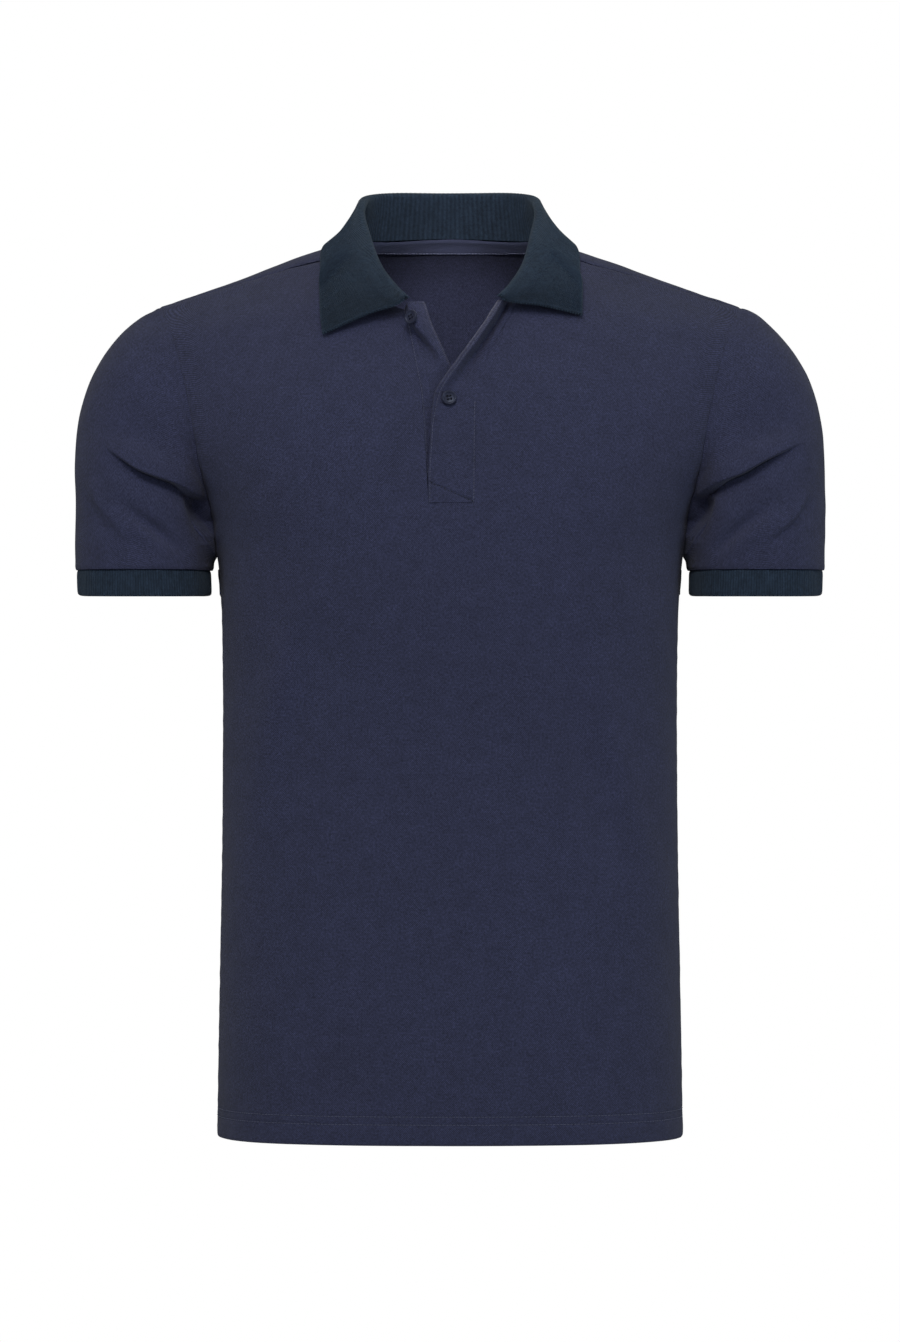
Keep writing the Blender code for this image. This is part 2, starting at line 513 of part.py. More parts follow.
def folded_sleeve(turn, s, side):
    """The sleeve of the side +1 or -1, in its place, with its folds."""
    name = "left" if side > 0 else "right"
    points = sleeve(turn, s)
    out = sleeve_normals(turn, s)
    placed = points * np.array([side, 1, 1])
    out = out * np.array([side, 1, 1])
    front_share = np.clip(-out[..., 1] * 1.6, 0, 1)
    back_share = np.clip(out[..., 1] * 1.6, 0, 1)
    height = front_share * fold_height(f"sleeve front {name}", placed)
    height = height + back_share * fold_height(f"sleeve back {name}", placed)
    seam_fade = np.clip(np.asarray(s) / 0.06, 0, 1) * np.clip((1 - np.asarray(s)) / 0.12, 0, 1)
    return placed + out * (height * seam_fade)[..., None]


# ---- making the pieces -------------------------------------------------
def shrink(points, normals, faces, amount):
    """Moves the boundary of a sheet in by amount, along the sheet."""
    edges = {(a, b) for face in faces for a, b in zip(face, face[1:] + face[:1])}
    push = {}
    for a, b in edges:
        if (b, a) in edges:
            continue
        along = unit(points[b] - points[a])
        for end in (a, b):
            push.setdefault(end, []).append(unit(np.cross(normals[end], along)))
    moved = points.copy()
    for end, ways in push.items():
        total = sum(ways)
        moved[end] += amount * total / max(float(np.dot(total, total)) / len(ways), 0.3)
    return moved


def material_of(name):
    """The material of a node, from its row of MATERIALS."""
    for kind, nodes, colour, roughness in MATERIALS:
        if name in nodes:
            break
    material = bpy.data.materials.get(kind) or bpy.data.materials.new(kind)
    material.use_nodes = True
    shader = material.node_tree.nodes["Principled BSDF"].inputs
    shader["Base Color"].default_value = (*colour, 1.0)
    shader["Roughness"].default_value = roughness
    shader["Metallic"].default_value = 0.0
    material.diffuse_color = (*colour, 1.0)
    return material


def make_object(name, mesh):
    item = bpy.data.objects.new(name, mesh)
    mesh.materials.append(material_of(name))
    bpy.context.scene.collection.objects.link(item)
    return item


def make_wall(name, points, normals, faces, thickness, gap=SEAM_GAP / 2):
    """A closed wall: the outer face, the same face moved in by the thickness, and its rim."""
    points, normals = points.reshape(-1, 3), normals.reshape(-1, 3)
    count_all = len(points)
    a, b, c = (points[[face[k] for face in faces]] for k in range(3))
    facing = (np.cross(b - a, c - a) * normals[[face[0] for face in faces]]).sum()
    faces = [tuple(face if facing > 0 else reversed(face)) for face in faces]
    used = sorted({i for face in faces for i in face})
    index = {old: new for new, old in enumerate(used)}
    faces = [tuple(index[i] for i in face) for face in faces]
    points, normals = points[used], normals[used]
    thickness = np.broadcast_to(thickness, (count_all,))[used]
    outer = shrink(points, normals, faces, gap)
    inner = outer - normals * thickness[:, None]
    count = len(outer)
    edges = {(a, b) for face in faces for a, b in zip(face, face[1:] + face[:1])}
    rim = [(b, a, a + count, b + count) for a, b in sorted(edges) if (b, a) not in edges]
    back = [tuple(i + count for i in reversed(face)) for face in faces]
    mesh = bpy.data.meshes.new(name)
    mesh.from_pydata([tuple(point) for point in np.concatenate([outer, inner])], [], faces + back + rim)
    mesh.shade_smooth()
    mesh.set_sharp_from_angle(angle=SHARP_ANGLE)
    return make_object(name, mesh)


def grid_faces(rows, columns, skip=None, wrap=False):
    """The triangles of a grid of rows x columns points. skip(i, j) leaves out a cell."""
    faces = []
    for i in range(rows - 1):
        for j in range(columns if wrap else columns - 1):
            if skip is not None and skip(i, j):
                continue
            here, after = i * columns + j, i * columns + (j + 1) % columns
            faces.append((here, after, after + columns))
            faces.append((here, after + columns, here + columns))
    return faces


# ---- the panels' grids -------------------------------------------------
NECK_CORNER = math.radians(81.5)
TOP_SLIT_CORNER = math.radians(36.5)
UNDER_SLIT_CORNER = -math.radians(18.7)
OUTER_COLUMNS, INNER_COLUMNS, SLIT_COLUMNS, NECK_COLUMNS = 5, 3, 3, 12
FRONT_RISE_ROWS, BACK_RISE_ROWS, YOKE_ROWS = 13, 10, 3
HPS_COLUMN = 0.42
YOKE_CORNER = math.radians(112.0)
YOKE_WIDTH, YOKE_FALL = 0.032, 0.055
TAPE_WIDTH = 0.0115
TAPE_COLUMN = OUTER_COLUMNS + 2
SEAM_FORWARD_AT_TIP = 0.004


def coons(bottom, top, left, right):
    """A grid of (u, t) pairs filled in between its four edges."""
    i = np.linspace(0, 1, len(left))[:, None, None]
    j = np.linspace(0, 1, len(bottom))[None, :, None]
    corners = (
        (1 - i) * (1 - j) * bottom[0] + (1 - i) * j * bottom[-1]
        + i * (1 - j) * top[0] + i * j * top[-1]
    )
    return (
        (1 - i) * bottom[None] + i * top[None] + (1 - j) * left[:, None] + j * right[:, None]
        - corners
    )


def pairs(u, t):
    return np.stack(np.broadcast_arrays(np.asarray(u, float), np.asarray(t, float)), axis=-1)


def tip_at():
    """The t of the armhole's point where the shoulder seam ends, forward of the ridge."""
    rows = np.linspace(AT_RIDGE - 0.05, AT_RIDGE, 400)
    return np.interp(-SEAM_FORWARD_AT_TIP, body(1.0, rows)[:, 1], rows)


def shoulder_seam(count):
    """(u, t) along the +X shoulder seam, from the neck to the tip."""
    neck_x, neck_y = neck_plan(NECK_CORNER)
    tip = body(1.0, tip_at())
    share = np.linspace(0, 1, count)
    x, y = neck_x + (tip[0] - neck_x) * share, neck_y + (tip[1] - neck_y) * share
    seam = pairs(*find_on_body(x, y, (0, 1), AT_RIDGE - 0.14, AT_RIDGE + 0.12))
    seam[-1] = (1.0, tip_at())
    return seam


def slit_edge(rows, corner, count):
    """(u, t) up the slit's edge, from its bottom to the neckline."""
    top = pairs(*neck_at(corner))
    table = np.array(rows)
    z = np.linspace(SLIT_BOTTOM_Z, body(*top)[2], count)
    x = curve(table[:, 0], table[:, 2], z)
    edge = pairs(*find_on_body(x, z, (0, 2), AT_FRONT_ARMPIT, AT_RIDGE))
    edge[-1] = top
    return edge


def mirrored(grid):
    """The same (u, t) grid on the other side, columns still running from -X to +X."""
    return grid[:, ::-1] * np.array([-1.0, 1.0])


def lower_heights():
    hem_z = -BODY_LENGTH_FROM_ORIGIN
    band = [hem_z, hem_z + HEM_DEPTH, hem_z + HEM_DEPTH + 0.0012]
    return band + list(np.linspace(band[-1], FRONT_ROWS[6][2], 12)[1:])


def front_grid():
    """(u, t) of the front panel's points, and the columns between which the slit is open."""
    rows = np.linspace(0, AT_RIDGE, 2000)
    slit_t = np.interp(SLIT_BOTTOM_Z, body(0.0, rows)[:, 2], rows)
    rise = FRONT_RISE_ROWS + 1
    top_edge = slit_edge(TOP_PLACKET_ROWS, TOP_SLIT_CORNER, rise)
    under_edge = slit_edge(UNDER_PLACKET_ROWS, UNDER_SLIT_CORNER, rise)
    top_edge[0, 1] = under_edge[0, 1] = slit_t
    neck = pairs(*neck_at(NECK_CORNER))
    column = np.linspace((HPS_COLUMN, slit_t), neck, rise)
    armhole = pairs(1.0, np.linspace(slit_t, tip_at(), rise))
    outer = coons(
        pairs(np.linspace(HPS_COLUMN, 1, OUTER_COLUMNS + 1), slit_t),
        shoulder_seam(OUTER_COLUMNS + 1), column, armhole,
    )
    inner = {}
    for side, corner, edge in ((1, TOP_SLIT_CORNER, top_edge), (-1, -UNDER_SLIT_CORNER, under_edge)):
        edge = edge * np.array([side, 1.0])
        turns = np.linspace(corner, NECK_CORNER, INNER_COLUMNS + 1)
        inner[side] = coons(
            pairs(np.linspace(edge[0, 0], HPS_COLUMN, INNER_COLUMNS + 1), slit_t),
            pairs(*neck_at(turns)), edge, column,
        )
    left_part = np.concatenate([mirrored(outer), mirrored(inner[-1])[:, 1:]], axis=1)
    right_part = np.concatenate([inner[1], outer[:, 1:]], axis=1)
    slit = np.linspace(left_part[:, -1], right_part[:, 0], SLIT_COLUMNS + 1, axis=1)[:, 1:-1]
    upper = np.concatenate([left_part, slit, right_part], axis=1)
    heights = np.interp(lower_heights(), body(0.0, rows)[:, 2], rows)
    between = np.linspace(AT_FRONT_ARMPIT, slit_t, 3)[1:-1]
    lower = [pairs(upper[0, :, 0], t) for t in list(heights) + list(between)]
    return np.concatenate([np.array(lower), upper]), len(lower), left_part.shape[1] - 1


def back_grid():
    """(u, t) of the back panel's points, from the hem up."""
    turns = np.linspace(-NECK_CORNER, NECK_CORNER - 2 * math.pi, NECK_COLUMNS + 1)
    seam = shoulder_seam(OUTER_COLUMNS + 1)[None]
    neckline = pairs(*neck_at(turns))
    top = np.concatenate([mirrored(seam)[0], neckline[1:-1], seam[0]])

    outer = np.linspace(HPS_COLUMN, 1, OUTER_COLUMNS + 1)
    middle = np.linspace(-HPS_COLUMN, HPS_COLUMN, NECK_COLUMNS + 1)
    armpits = pairs(np.concatenate([-outer[::-1], middle[1:-1], outer]), AT_BACK_ARMPIT)

    yoke_turns = np.linspace(-YOKE_CORNER, YOKE_CORNER - 2 * math.pi, NECK_COLUMNS + 1)
    around = pairs(*neck_at(yoke_turns, YOKE_WIDTH))
    beside = np.linspace(around[-1], (1.0, tip_at() + YOKE_FALL), OUTER_COLUMNS + 1)[None]
    yoke = np.concatenate([mirrored(beside)[0], around[1:-1], beside[0]])

    above = np.linspace(yoke, top, YOKE_ROWS + 1)
    above[-2, :OUTER_COLUMNS, 1] = above[-2, -OUTER_COLUMNS:, 1] = AT_RIDGE
    above[-2, TAPE_COLUMN:-TAPE_COLUMN] = pairs(*neck_at(turns[2:-2], TAPE_WIDTH))

    rows = np.linspace(AT_BACK_ARMPIT, AT_BACK_HEM, 2000)[::-1]
    heights = np.interp(lower_heights()[:-1], body(0.0, rows)[:, 2], rows)
    lower = [pairs(armpits[:, 0], t) for t in heights]
    upper = np.linspace(armpits, yoke, BACK_RISE_ROWS + 1)
    return np.concatenate([np.array(lower), upper, above[1:]])


def surface_and_normals(surface, a, b, step_a, step_b, sign=1):
    return surface(a, b), sign * normals_of(surface, a, b, step_a, step_b)


def panel_thickness(points):
    hem_top = HEM_DEPTH - BODY_LENGTH_FROM_ORIGIN
    return np.where(points[..., 2] <= hem_top + 1e-4, HEM_CLOTH, CLOTH).ravel()


def make_front():
    grid, slit_row, slit_column = front_grid()
    points, normals = surface_and_normals(folded_body, grid[..., 0], grid[..., 1], 1e-3, 1e-4)
    faces = grid_faces(
        *grid.shape[:2],
        skip=lambda i, j: i >= slit_row and slit_column <= j < slit_column + SLIT_COLUMNS,
    )
    make_wall("front", points, normals, faces, panel_thickness(points))
    return grid


def make_back(front):
    grid = back_grid()
    points, normals = surface_and_normals(folded_body, grid[..., 0], grid[..., 1], 1e-3, 1e-4)
    side = folded_body(front[:, [0, -1], 0], front[:, [0, -1], 1])
    count = len(lower_heights())
    points[:count, 0], points[:count, -1] = side[:count, 0], side[:count, 1]
    make_wall("back", points, normals, grid_faces(*grid.shape[:2]), panel_thickness(points))
    return grid


SLEEVE_AT = [0.0, 0.07, 0.16, 0.27, 0.37, 0.47, 0.57, 0.68, 0.79, 0.9, 1.0]


def sleeve_turns(front, back):
    """The sleeve's angles at the front and the back panel's armhole points."""
    front_at = front[len(lower_heights()) - 1:, -1, 1]
    back_at = back[len(lower_heights()) - 1:, -1, 1]
    turns = np.concatenate([armhole_turn(front_at), armhole_turn(back_at)[::-1][1:-1]])
    turns[0] = 0.0
    return turns


def make_sleeve(name, side, turns):
    turn, s = np.meshgrid(turns, SLEEVE_AT)
    points, normals = surface_and_normals(
        lambda a, b: folded_sleeve(a, b, side), turn, s, 1e-3, 1e-4, -side
    )
    faces = grid_faces(*turn.shape, wrap=True)
    make_wall(name, points, normals, faces, CLOTH)


# ---- cuffs -------------------------------------------------------------
CUFF_TOP = ("cuff top", 0.2976, -0.2607, 0.1912, -0.2607, -0.0582, 0.0582, 2.9)
CUFF_BOTTOM = ("cuff bottom", 0.2970, -0.2819, 0.1908, -0.2819, -0.0588, 0.0588, 3.0)
CUFF_SIDE_RISE, CUFF_BACK_RISE = 0.0015, 0.0017


def cuff(turn, s):
    """Points on the outer face of the +X cuff. s runs from its seam (0) to its open end (1)."""
    turn, s = np.broadcast_arrays(np.asarray(turn, float), np.asarray(s, float))
    top, bottom = ring_points(CUFF_TOP, turn), ring_points(CUFF_BOTTOM, turn)
    points = top + (bottom - top) * s[..., None]
    points[..., 2] += s**2 * CUFF_SIDE_RISE * np.cos(turn) ** 16
    points[..., 2] += s**2 * CUFF_BACK_RISE * (1 - np.sin(turn)) / 2
    return points


def make_cuff(name, side, turns):
    turn, s = np.meshgrid(turns, [0.0, 0.5, 1.0])
    points, normals = surface_and_normals(cuff, turn, s, 1e-3, 1e-3, -1)
    flip = np.array([side, 1, 1])
    make_wall(name, points * flip, normals * flip, grid_faces(*turn.shape, wrap=True), RIB)


# ---- collar, plackets and tape -----------------------------------------
def make_collar():
    stand = np.linspace(0, STAND_SHARE, 4)
    over = np.linspace(STAND_SHARE, STAND_SHARE + ROLL_SHARE, 4)[1:]
    leaf = np.linspace(STAND_SHARE + ROLL_SHARE, 1, 5)[1:]
    a, b = np.meshgrid(np.linspace(0, 1, 29), np.concatenate([stand, over, leaf]))
    points, normals = collar(a, b), collar_normals(a, b)
    make_wall("collar", points + normals * RIB / 2, normals, grid_faces(*a.shape), RIB)


def make_placket(name, rows, front, column, slit_row):
    """A placket strip whose seam edge has the heights of the panel's slit edge."""
    z = folded_body(front[slit_row:, column, 0], front[slit_row:, column, 1])[:, 2]
    low, high = rows[0][0], rows[-1][0]
    shares = (np.clip(z, low, high) - low) / (high - low)
    r, s = np.meshgrid(shares, [0.0, 0.15, 0.30, 0.52, 0.66, 0.78, 1.0], indexing="ij")
    points, normals = placket(rows, r, s), placket_normals(rows, r, s)
    normals = normals * np.sign((normals * np.array([0, -1, 0])).sum())
    x, z = points[:, 0, 0], points[:, 0, 2]
    normals[:, 0] = body_normals(*find_on_body(x, z, (0, 2), AT_FRONT_ARMPIT, AT_RIDGE))
    make_wall(name, points, normals, grid_faces(*r.shape), PLACKET_CLOTH)


def make_tape(back):
    """The tape on the inside of the back neck, over the panel's last row."""
    grid = back[-2:, TAPE_COLUMN:-TAPE_COLUMN]
    normals = body_normals(grid[..., 0], grid[..., 1])
    points = body(grid[..., 0], grid[..., 1]) - normals * (CLOTH + 2 * SEAM_GAP)
    faces = grid_faces(*grid.shape[:2])
    make_wall("neck_tape", points, normals, faces, TAPE_CLOTH, gap=4 * SEAM_GAP)


# ---- buttons -----------------------------------------------------------
BUTTON_PROFILE = [  # radius share, height share
    (0.0, 0.0), (0.86, 0.0), (1.0, 0.30), (1.0, 0.72), (0.93, 0.98), (0.80, 1.0), (0.66, 0.72),
    (0.0, 0.66),
]
BUTTON_HOLE_RADIUS = 0.00075
BUTTON_HOLE_OFFSET = 0.00140


def make_button(name, centre, facing, lean):
    """A four-hole button whose back rests SEAM_GAP above centre. lean turns its holes."""
    mesh = bpy.data.meshes.new(name)
    sides = 20
    points, faces = [(0.0, 0.0, 0.0)], []
    for radius, height in BUTTON_PROFILE[1:-1]:
        for k in range(sides):
            turn = 2 * math.pi * k / sides
            points.append((
                radius * BUTTON_RADIUS * math.cos(turn),
                radius * BUTTON_RADIUS * math.sin(turn),
                height * BUTTON_THICKNESS,
            ))
    points.append((0.0, 0.0, BUTTON_PROFILE[-1][1] * BUTTON_THICKNESS))
    last = len(points) - 1
    rings = len(BUTTON_PROFILE) - 2
    for k in range(sides):
        after = (k + 1) % sides
        faces.append((0, 1 + after, 1 + k))
        for ring in range(rings - 1):
            start, end = 1 + ring * sides, 1 + (ring + 1) * sides
            faces.append((start + k, start + after, end + after, end + k))
        top = 1 + (rings - 1) * sides
        faces.append((top + k, top + after, last))
    mesh.from_pydata(points, [], faces)
    button = make_object(name, mesh)
    for k in range(4):
        turn = math.pi / 4 + k * math.pi / 2
        bpy.ops.mesh.primitive_cylinder_add(
            vertices=8, radius=BUTTON_HOLE_RADIUS, depth=0.01,
            location=(
                BUTTON_HOLE_OFFSET * math.cos(turn), BUTTON_HOLE_OFFSET * math.sin(turn), 0.0
            ),
        )
        cutter = bpy.context.object
        cutter.name = f"{name}_hole_{k}"
        cutter.hide_render = True
        cut = button.modifiers.new("hole", "BOOLEAN")
        cut.operation = "DIFFERENCE"
        cut.solver = "EXACT"
        cut.object = cutter
    graph = bpy.context.evaluated_depsgraph_get()
    holed = bpy.data.meshes.new_from_object(button.evaluated_get(graph))
    holed.shade_smooth()
    holed.set_sharp_from_angle(angle=SHARP_ANGLE)
    button.modifiers.clear()
    button.data = holed
    for item in [item for item in bpy.data.objects if item.name.startswith(f"{name}_hole_")]:
        bpy.data.objects.remove(item)
    across = unit(np.cross([0.0, 0.0, 1.0], facing))
    across = across * math.cos(lean) + np.cross(facing, across) * math.sin(lean)
    up = np.cross(facing, across)
    place = np.stack([across, up, facing], axis=1)
    for vertex in holed.vertices:
        vertex.co = place @ np.array(vertex.co) + centre + SEAM_GAP * facing


def placket_spot(rows, x, z):
    """The point of a placket strip's outer face at x and z, and its normal."""
    low, high = rows[0][0], rows[-1][0]
    shares = np.linspace(0, 1, 400)
    r = (z - low) / (high - low)
    for _ in range(10):
        line = placket(rows, np.full(400, r), shares)
        order = np.argsort(line[:, 0])
        s = np.interp(x, line[order, 0], shares[order])
        r += (z - np.interp(s, shares, line[:, 2])) / (high - low)
    normal = placket_normals(rows, np.array([r]), np.array([s]))[0]
    return placket(rows, np.array([r]), np.array([s]))[0], normal * -np.sign(normal[1])


SECOND_BUTTON = (-0.0008, -0.1278)
TOP_BUTTON = (-0.0293, -0.0640)
TOP_BUTTON_FACING = (-0.60, -0.78, 0.16)


def make_all():
    front = make_front()
    back = make_back(front)
    turns = sleeve_turns(front, back)
    make_sleeve("sleeve_left", 1, turns)
    make_sleeve("sleeve_right", -1, turns)
    make_cuff("cuff_left", 1, turns)
    make_cuff("cuff_right", -1, turns)
    make_collar()
    _, slit_row, slit_column = front_grid()
    make_placket("placket_top", TOP_PLACKET_ROWS, front, slit_column + SLIT_COLUMNS, slit_row)
    make_placket("placket_under", UNDER_PLACKET_ROWS, front, slit_column, slit_row)
    make_tape(back)
    spot, facing = placket_spot(TOP_PLACKET_ROWS, *SECOND_BUTTON)
    make_button("button_second", spot + 0.0003 * facing, facing, 0.2)
    spot, _ = placket_spot(UNDER_PLACKET_ROWS, *TOP_BUTTON)
    facing = unit(np.array(TOP_BUTTON_FACING))
    make_button("button_top", spot + 0.0008 * facing, facing, 0.5)


make_all()
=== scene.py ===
"""A navy polo shirt, filled out with no wearer, in a plain studio. Metres, +Z up, facing -Y, and
+X is the wearer's left. Each cloth piece is a fine shell on the form that its CAD solid has."""

import json
import math
from functools import reduce

import bmesh
import bpy
import numpy as np
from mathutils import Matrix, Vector

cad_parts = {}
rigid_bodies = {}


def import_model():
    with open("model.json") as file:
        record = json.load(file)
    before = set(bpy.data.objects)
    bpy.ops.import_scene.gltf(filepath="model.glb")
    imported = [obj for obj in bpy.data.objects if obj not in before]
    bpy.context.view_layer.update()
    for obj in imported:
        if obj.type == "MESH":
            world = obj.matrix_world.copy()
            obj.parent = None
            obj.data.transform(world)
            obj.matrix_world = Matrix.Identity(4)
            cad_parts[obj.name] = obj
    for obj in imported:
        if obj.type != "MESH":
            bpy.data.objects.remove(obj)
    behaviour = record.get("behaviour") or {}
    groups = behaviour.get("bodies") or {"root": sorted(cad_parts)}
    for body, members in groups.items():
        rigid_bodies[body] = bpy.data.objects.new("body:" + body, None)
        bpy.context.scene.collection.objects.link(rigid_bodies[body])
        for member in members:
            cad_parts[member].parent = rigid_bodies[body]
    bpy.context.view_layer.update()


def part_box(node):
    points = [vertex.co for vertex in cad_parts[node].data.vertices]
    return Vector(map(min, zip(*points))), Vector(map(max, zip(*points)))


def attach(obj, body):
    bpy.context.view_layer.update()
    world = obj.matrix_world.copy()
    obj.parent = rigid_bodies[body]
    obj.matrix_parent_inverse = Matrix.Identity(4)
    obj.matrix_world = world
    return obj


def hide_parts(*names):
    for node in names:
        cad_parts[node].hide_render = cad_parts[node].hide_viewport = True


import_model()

# ---- driving sizes, in metres ------------------------------------------
CLOTH = 0.0015
HEM_CLOTH = 0.0027
HEM_DEPTH = 0.0245
RIB = 0.0020
PLACKET_CLOTH = 0.0020
TAPE_CLOTH = 0.0010
SEAM_GAP = 0.0003
BODY_LENGTH_FROM_ORIGIN = 0.712
SLIT_BOTTOM_Z = -0.2100
BUTTON_RADIUS = 0.00585
BUTTON_THICKNESS = 0.0023
ARMPIT_ROW_Z = -0.2470

# How many samples a form is read off at, where a place on it is looked up.
SAMPLES, FINE_SAMPLES = 400, 2000
# The steps across and along a form over which its slopes are measured.
STEP_ACROSS, STEP_ALONG = 1e-3, 1e-4
# Where each piece's random draws start.
SEEDS = {
    "front_panel": 11, "back_panel": 31, "sleeve_left_cloth": 51, "sleeve_right_cloth": 61,
    "rib_collar": 71, "cuff_left_rib": 81, "cuff_right_rib": 86, "back_neck_tape": 91,
    "top_placket": 101, "under_placket": 111, "front_hem_stitches": 201,
    "back_hem_stitches": 202, "top_placket_stitches": 203, "under_placket_stitches": 204,
    "neck_tape_stitches": 205, "collar_end_loops": 206, "top_placket_tack": 207,
}

# ---- the body's form ---------------------------------------------------
# Each row crosses half of the garment, from the centre line to the side or to the armhole.
# heading is the row's direction at its end, in degrees in plan from +X. droop is its fall there.
# The reaches are the lengths of the two curve handles. The columns:
# name, centre_y, centre_z, end_x, end_y, end_z, heading, droop, reach_centre, reach_end
FRONT_ROWS = [
    ("hem", -0.1080, -0.7120, 0.1862, 0.0, -0.7120, 90, 0.0, 0.128, 0.074),
    ("hip", -0.1100, -0.6400, 0.1850, 0.0, -0.6400, 90, 0.0, 0.128, 0.076),
    ("belly", -0.1100, -0.5400, 0.1832, 0.0, -0.5400, 90, 0.0, 0.126, 0.076),
    ("waist", -0.1070, -0.4400, 0.1818, 0.0, -0.4400, 90, 0.0, 0.125, 0.074),
    ("ribs", -0.1120, -0.3450, 0.1816, 0.0, -0.3450, 90, 0.0, 0.125, 0.076),
    ("chest", -0.1190, -0.2850, 0.1830, 0.0, -0.2850, 90, 0.0, 0.126, 0.080),
    ("armpit", -0.1210, ARMPIT_ROW_Z, 0.1858, 0.0, ARMPIT_ROW_Z, 90, 0.0, 0.126, 0.080),
    ("bust", -0.1205, -0.2140, 0.1905, -0.030, -0.2120, 75, 0.0, 0.122, 0.070),
    ("arm", -0.1170, -0.1760, 0.1990, -0.050, -0.1760, 55, 0.0, 0.112, 0.070),
    ("placket", -0.1090, -0.1350, 0.2045, -0.056, -0.1410, 42, 0.05, 0.104, 0.070),
    ("yoke", -0.0955, -0.0950, 0.2120, -0.051, -0.1060, 30, 0.10, 0.094, 0.072),
    ("neck", -0.0770, -0.0550, 0.2200, -0.037, -0.0775, 20, 0.20, 0.080, 0.076),
    ("collar", -0.0500, -0.0180, 0.2270, -0.018, -0.0590, 8, 0.28, 0.060, 0.090),
]
RIDGE_ROW = ("ridge", 0.0, 0.0200, 0.2325, 0.0, -0.0502, 0, 0.345, 0.045, 0.115)
BACK_ROWS = [
    ("nape", 0.0580, 0.0105, 0.2270, 0.020, -0.0590, -8, 0.28, 0.060, 0.090),
    ("yoke", 0.0840, -0.0140, 0.2200, 0.040, -0.0800, -18, 0.20, 0.080, 0.076),
    ("blades", 0.1010, -0.0560, 0.2130, 0.055, -0.1100, -28, 0.10, 0.094, 0.072),
    ("shoulder", 0.1120, -0.1080, 0.2065, 0.060, -0.1470, -40, 0.05, 0.104, 0.070),
    ("arm", 0.1160, -0.1600, 0.1985, 0.053, -0.1870, -55, 0.0, 0.112, 0.070),
    ("bust", 0.1150, -0.2050, 0.1895, 0.032, -0.2230, -75, 0.0, 0.122, 0.070),
    ("armpit", 0.1110, ARMPIT_ROW_Z, 0.1858, 0.0, ARMPIT_ROW_Z, -90, 0.0, 0.126, 0.076),
    ("chest", 0.1050, -0.2850, 0.1830, 0.0, -0.2850, -90, 0.0, 0.126, 0.074),
    ("ribs", 0.0950, -0.3450, 0.1816, 0.0, -0.3450, -90, 0.0, 0.125, 0.070),
    ("waist", 0.0860, -0.4400, 0.1818, 0.0, -0.4400, -90, 0.0, 0.125, 0.064),
    ("belly", 0.0920, -0.5400, 0.1832, 0.0, -0.5400, -90, 0.0, 0.126, 0.066),
    ("hip", 0.1020, -0.6400, 0.1850, 0.0, -0.6400, -90, 0.0, 0.128, 0.070),
    ("hem", 0.1010, -0.7120, 0.1862, 0.0, -0.7120, -90, 0.0, 0.128, 0.070),
]


def curve(knots, values, at, first=None, each=False):
    """Points at the parameters `at` of the smooth curve through `values` at `knots`. first is its
    tangent at the start. With each, values[:, k] is the curve that at[k] is measured on."""
    knots, values, at = np.asarray(knots, float), np.asarray(values, float), np.asarray(at, float)
    step = np.diff(knots).reshape((-1,) + (1,) * (values.ndim - 1))
    slope = np.diff(values, axis=0) / step
    middle = (slope[:-1] * step[1:] + slope[1:] * step[:-1]) / (step[1:] + step[:-1])
    start = slope[:1] if first is None else np.asarray(first)[None]
    tangent = np.concatenate([start, middle, slope[-1:]])
    i = np.clip(np.searchsorted(knots, at, side="right") - 1, 0, len(knots) - 2)
    here, after = ((i, np.arange(len(at))), (i + 1, np.arange(len(at)))) if each else (i, i + 1)
    shape = (-1,) + (1,) * (values[here].ndim - 1)
    h = (knots[i + 1] - knots[i]).reshape(shape)
    s = ((at - knots[i]) / (knots[i + 1] - knots[i])).reshape(shape)
    return (
        (2 * s**3 - 3 * s**2 + 1) * values[here]
        + (s**3 - 2 * s**2 + s) * h * tangent[here]
        + (3 * s**2 - 2 * s**3) * values[after]
        + (s**3 - s**2) * h * tangent[after]
    )


def row_handles(row):
    """The four control points of a row's curve."""
    _, centre_y, centre_z, end_x, end_y, end_z, heading, droop, reach_centre, reach_end = row
    turn = math.radians(heading)
    start = np.array([0.0, centre_y, centre_z])
    end = np.array([end_x, end_y, end_z])
    leave = np.array([reach_centre, 0.0, 0.0])
    arrive = reach_end * np.array([math.cos(turn), math.sin(turn), -droop])
    return np.array([start, start + leave, end - arrive, end])


BODY_ROWS = FRONT_ROWS + [RIDGE_ROW] + BACK_ROWS
BODY_HANDLES = np.array([row_handles(row) for row in BODY_ROWS])
ROW_STEPS = np.linalg.norm(np.diff(BODY_HANDLES[:, [0, 3]], axis=0), axis=2).mean(axis=1)
ROW_AT = np.concatenate([[0.0], np.cumsum(ROW_STEPS)])
AT_RIDGE = ROW_AT[len(FRONT_ROWS)]
FRONT_AT = {row[0]: at for row, at in zip(FRONT_ROWS, ROW_AT)}
BACK_AT = {row[0]: at for row, at in zip(BACK_ROWS, ROW_AT[len(FRONT_ROWS) + 1:])}
AT_FRONT_ARMPIT, AT_BACK_ARMPIT = FRONT_AT["armpit"], BACK_AT["armpit"]


def body(u, t):
    """Points on the outer face of the body. u runs from -1 to 1 across it, 0 at the centre line.
    t runs from the front hem over the shoulder to the back hem."""
    u, t = np.broadcast_arrays(np.asarray(u, float), np.asarray(t, float))
    flat = np.abs(u).ravel()[:, None]
    handles = curve(ROW_AT, BODY_HANDLES, t.ravel())
    points = (
        (1 - flat) ** 3 * handles[:, 0]
        + 3 * (1 - flat) ** 2 * flat * handles[:, 1]
        + 3 * (1 - flat) * flat**2 * handles[:, 2]
        + flat**3 * handles[:, 3]
    )
    points[:, 0] *= np.where(u.ravel() < 0, -1, 1)
    return points.reshape(u.shape + (3,))


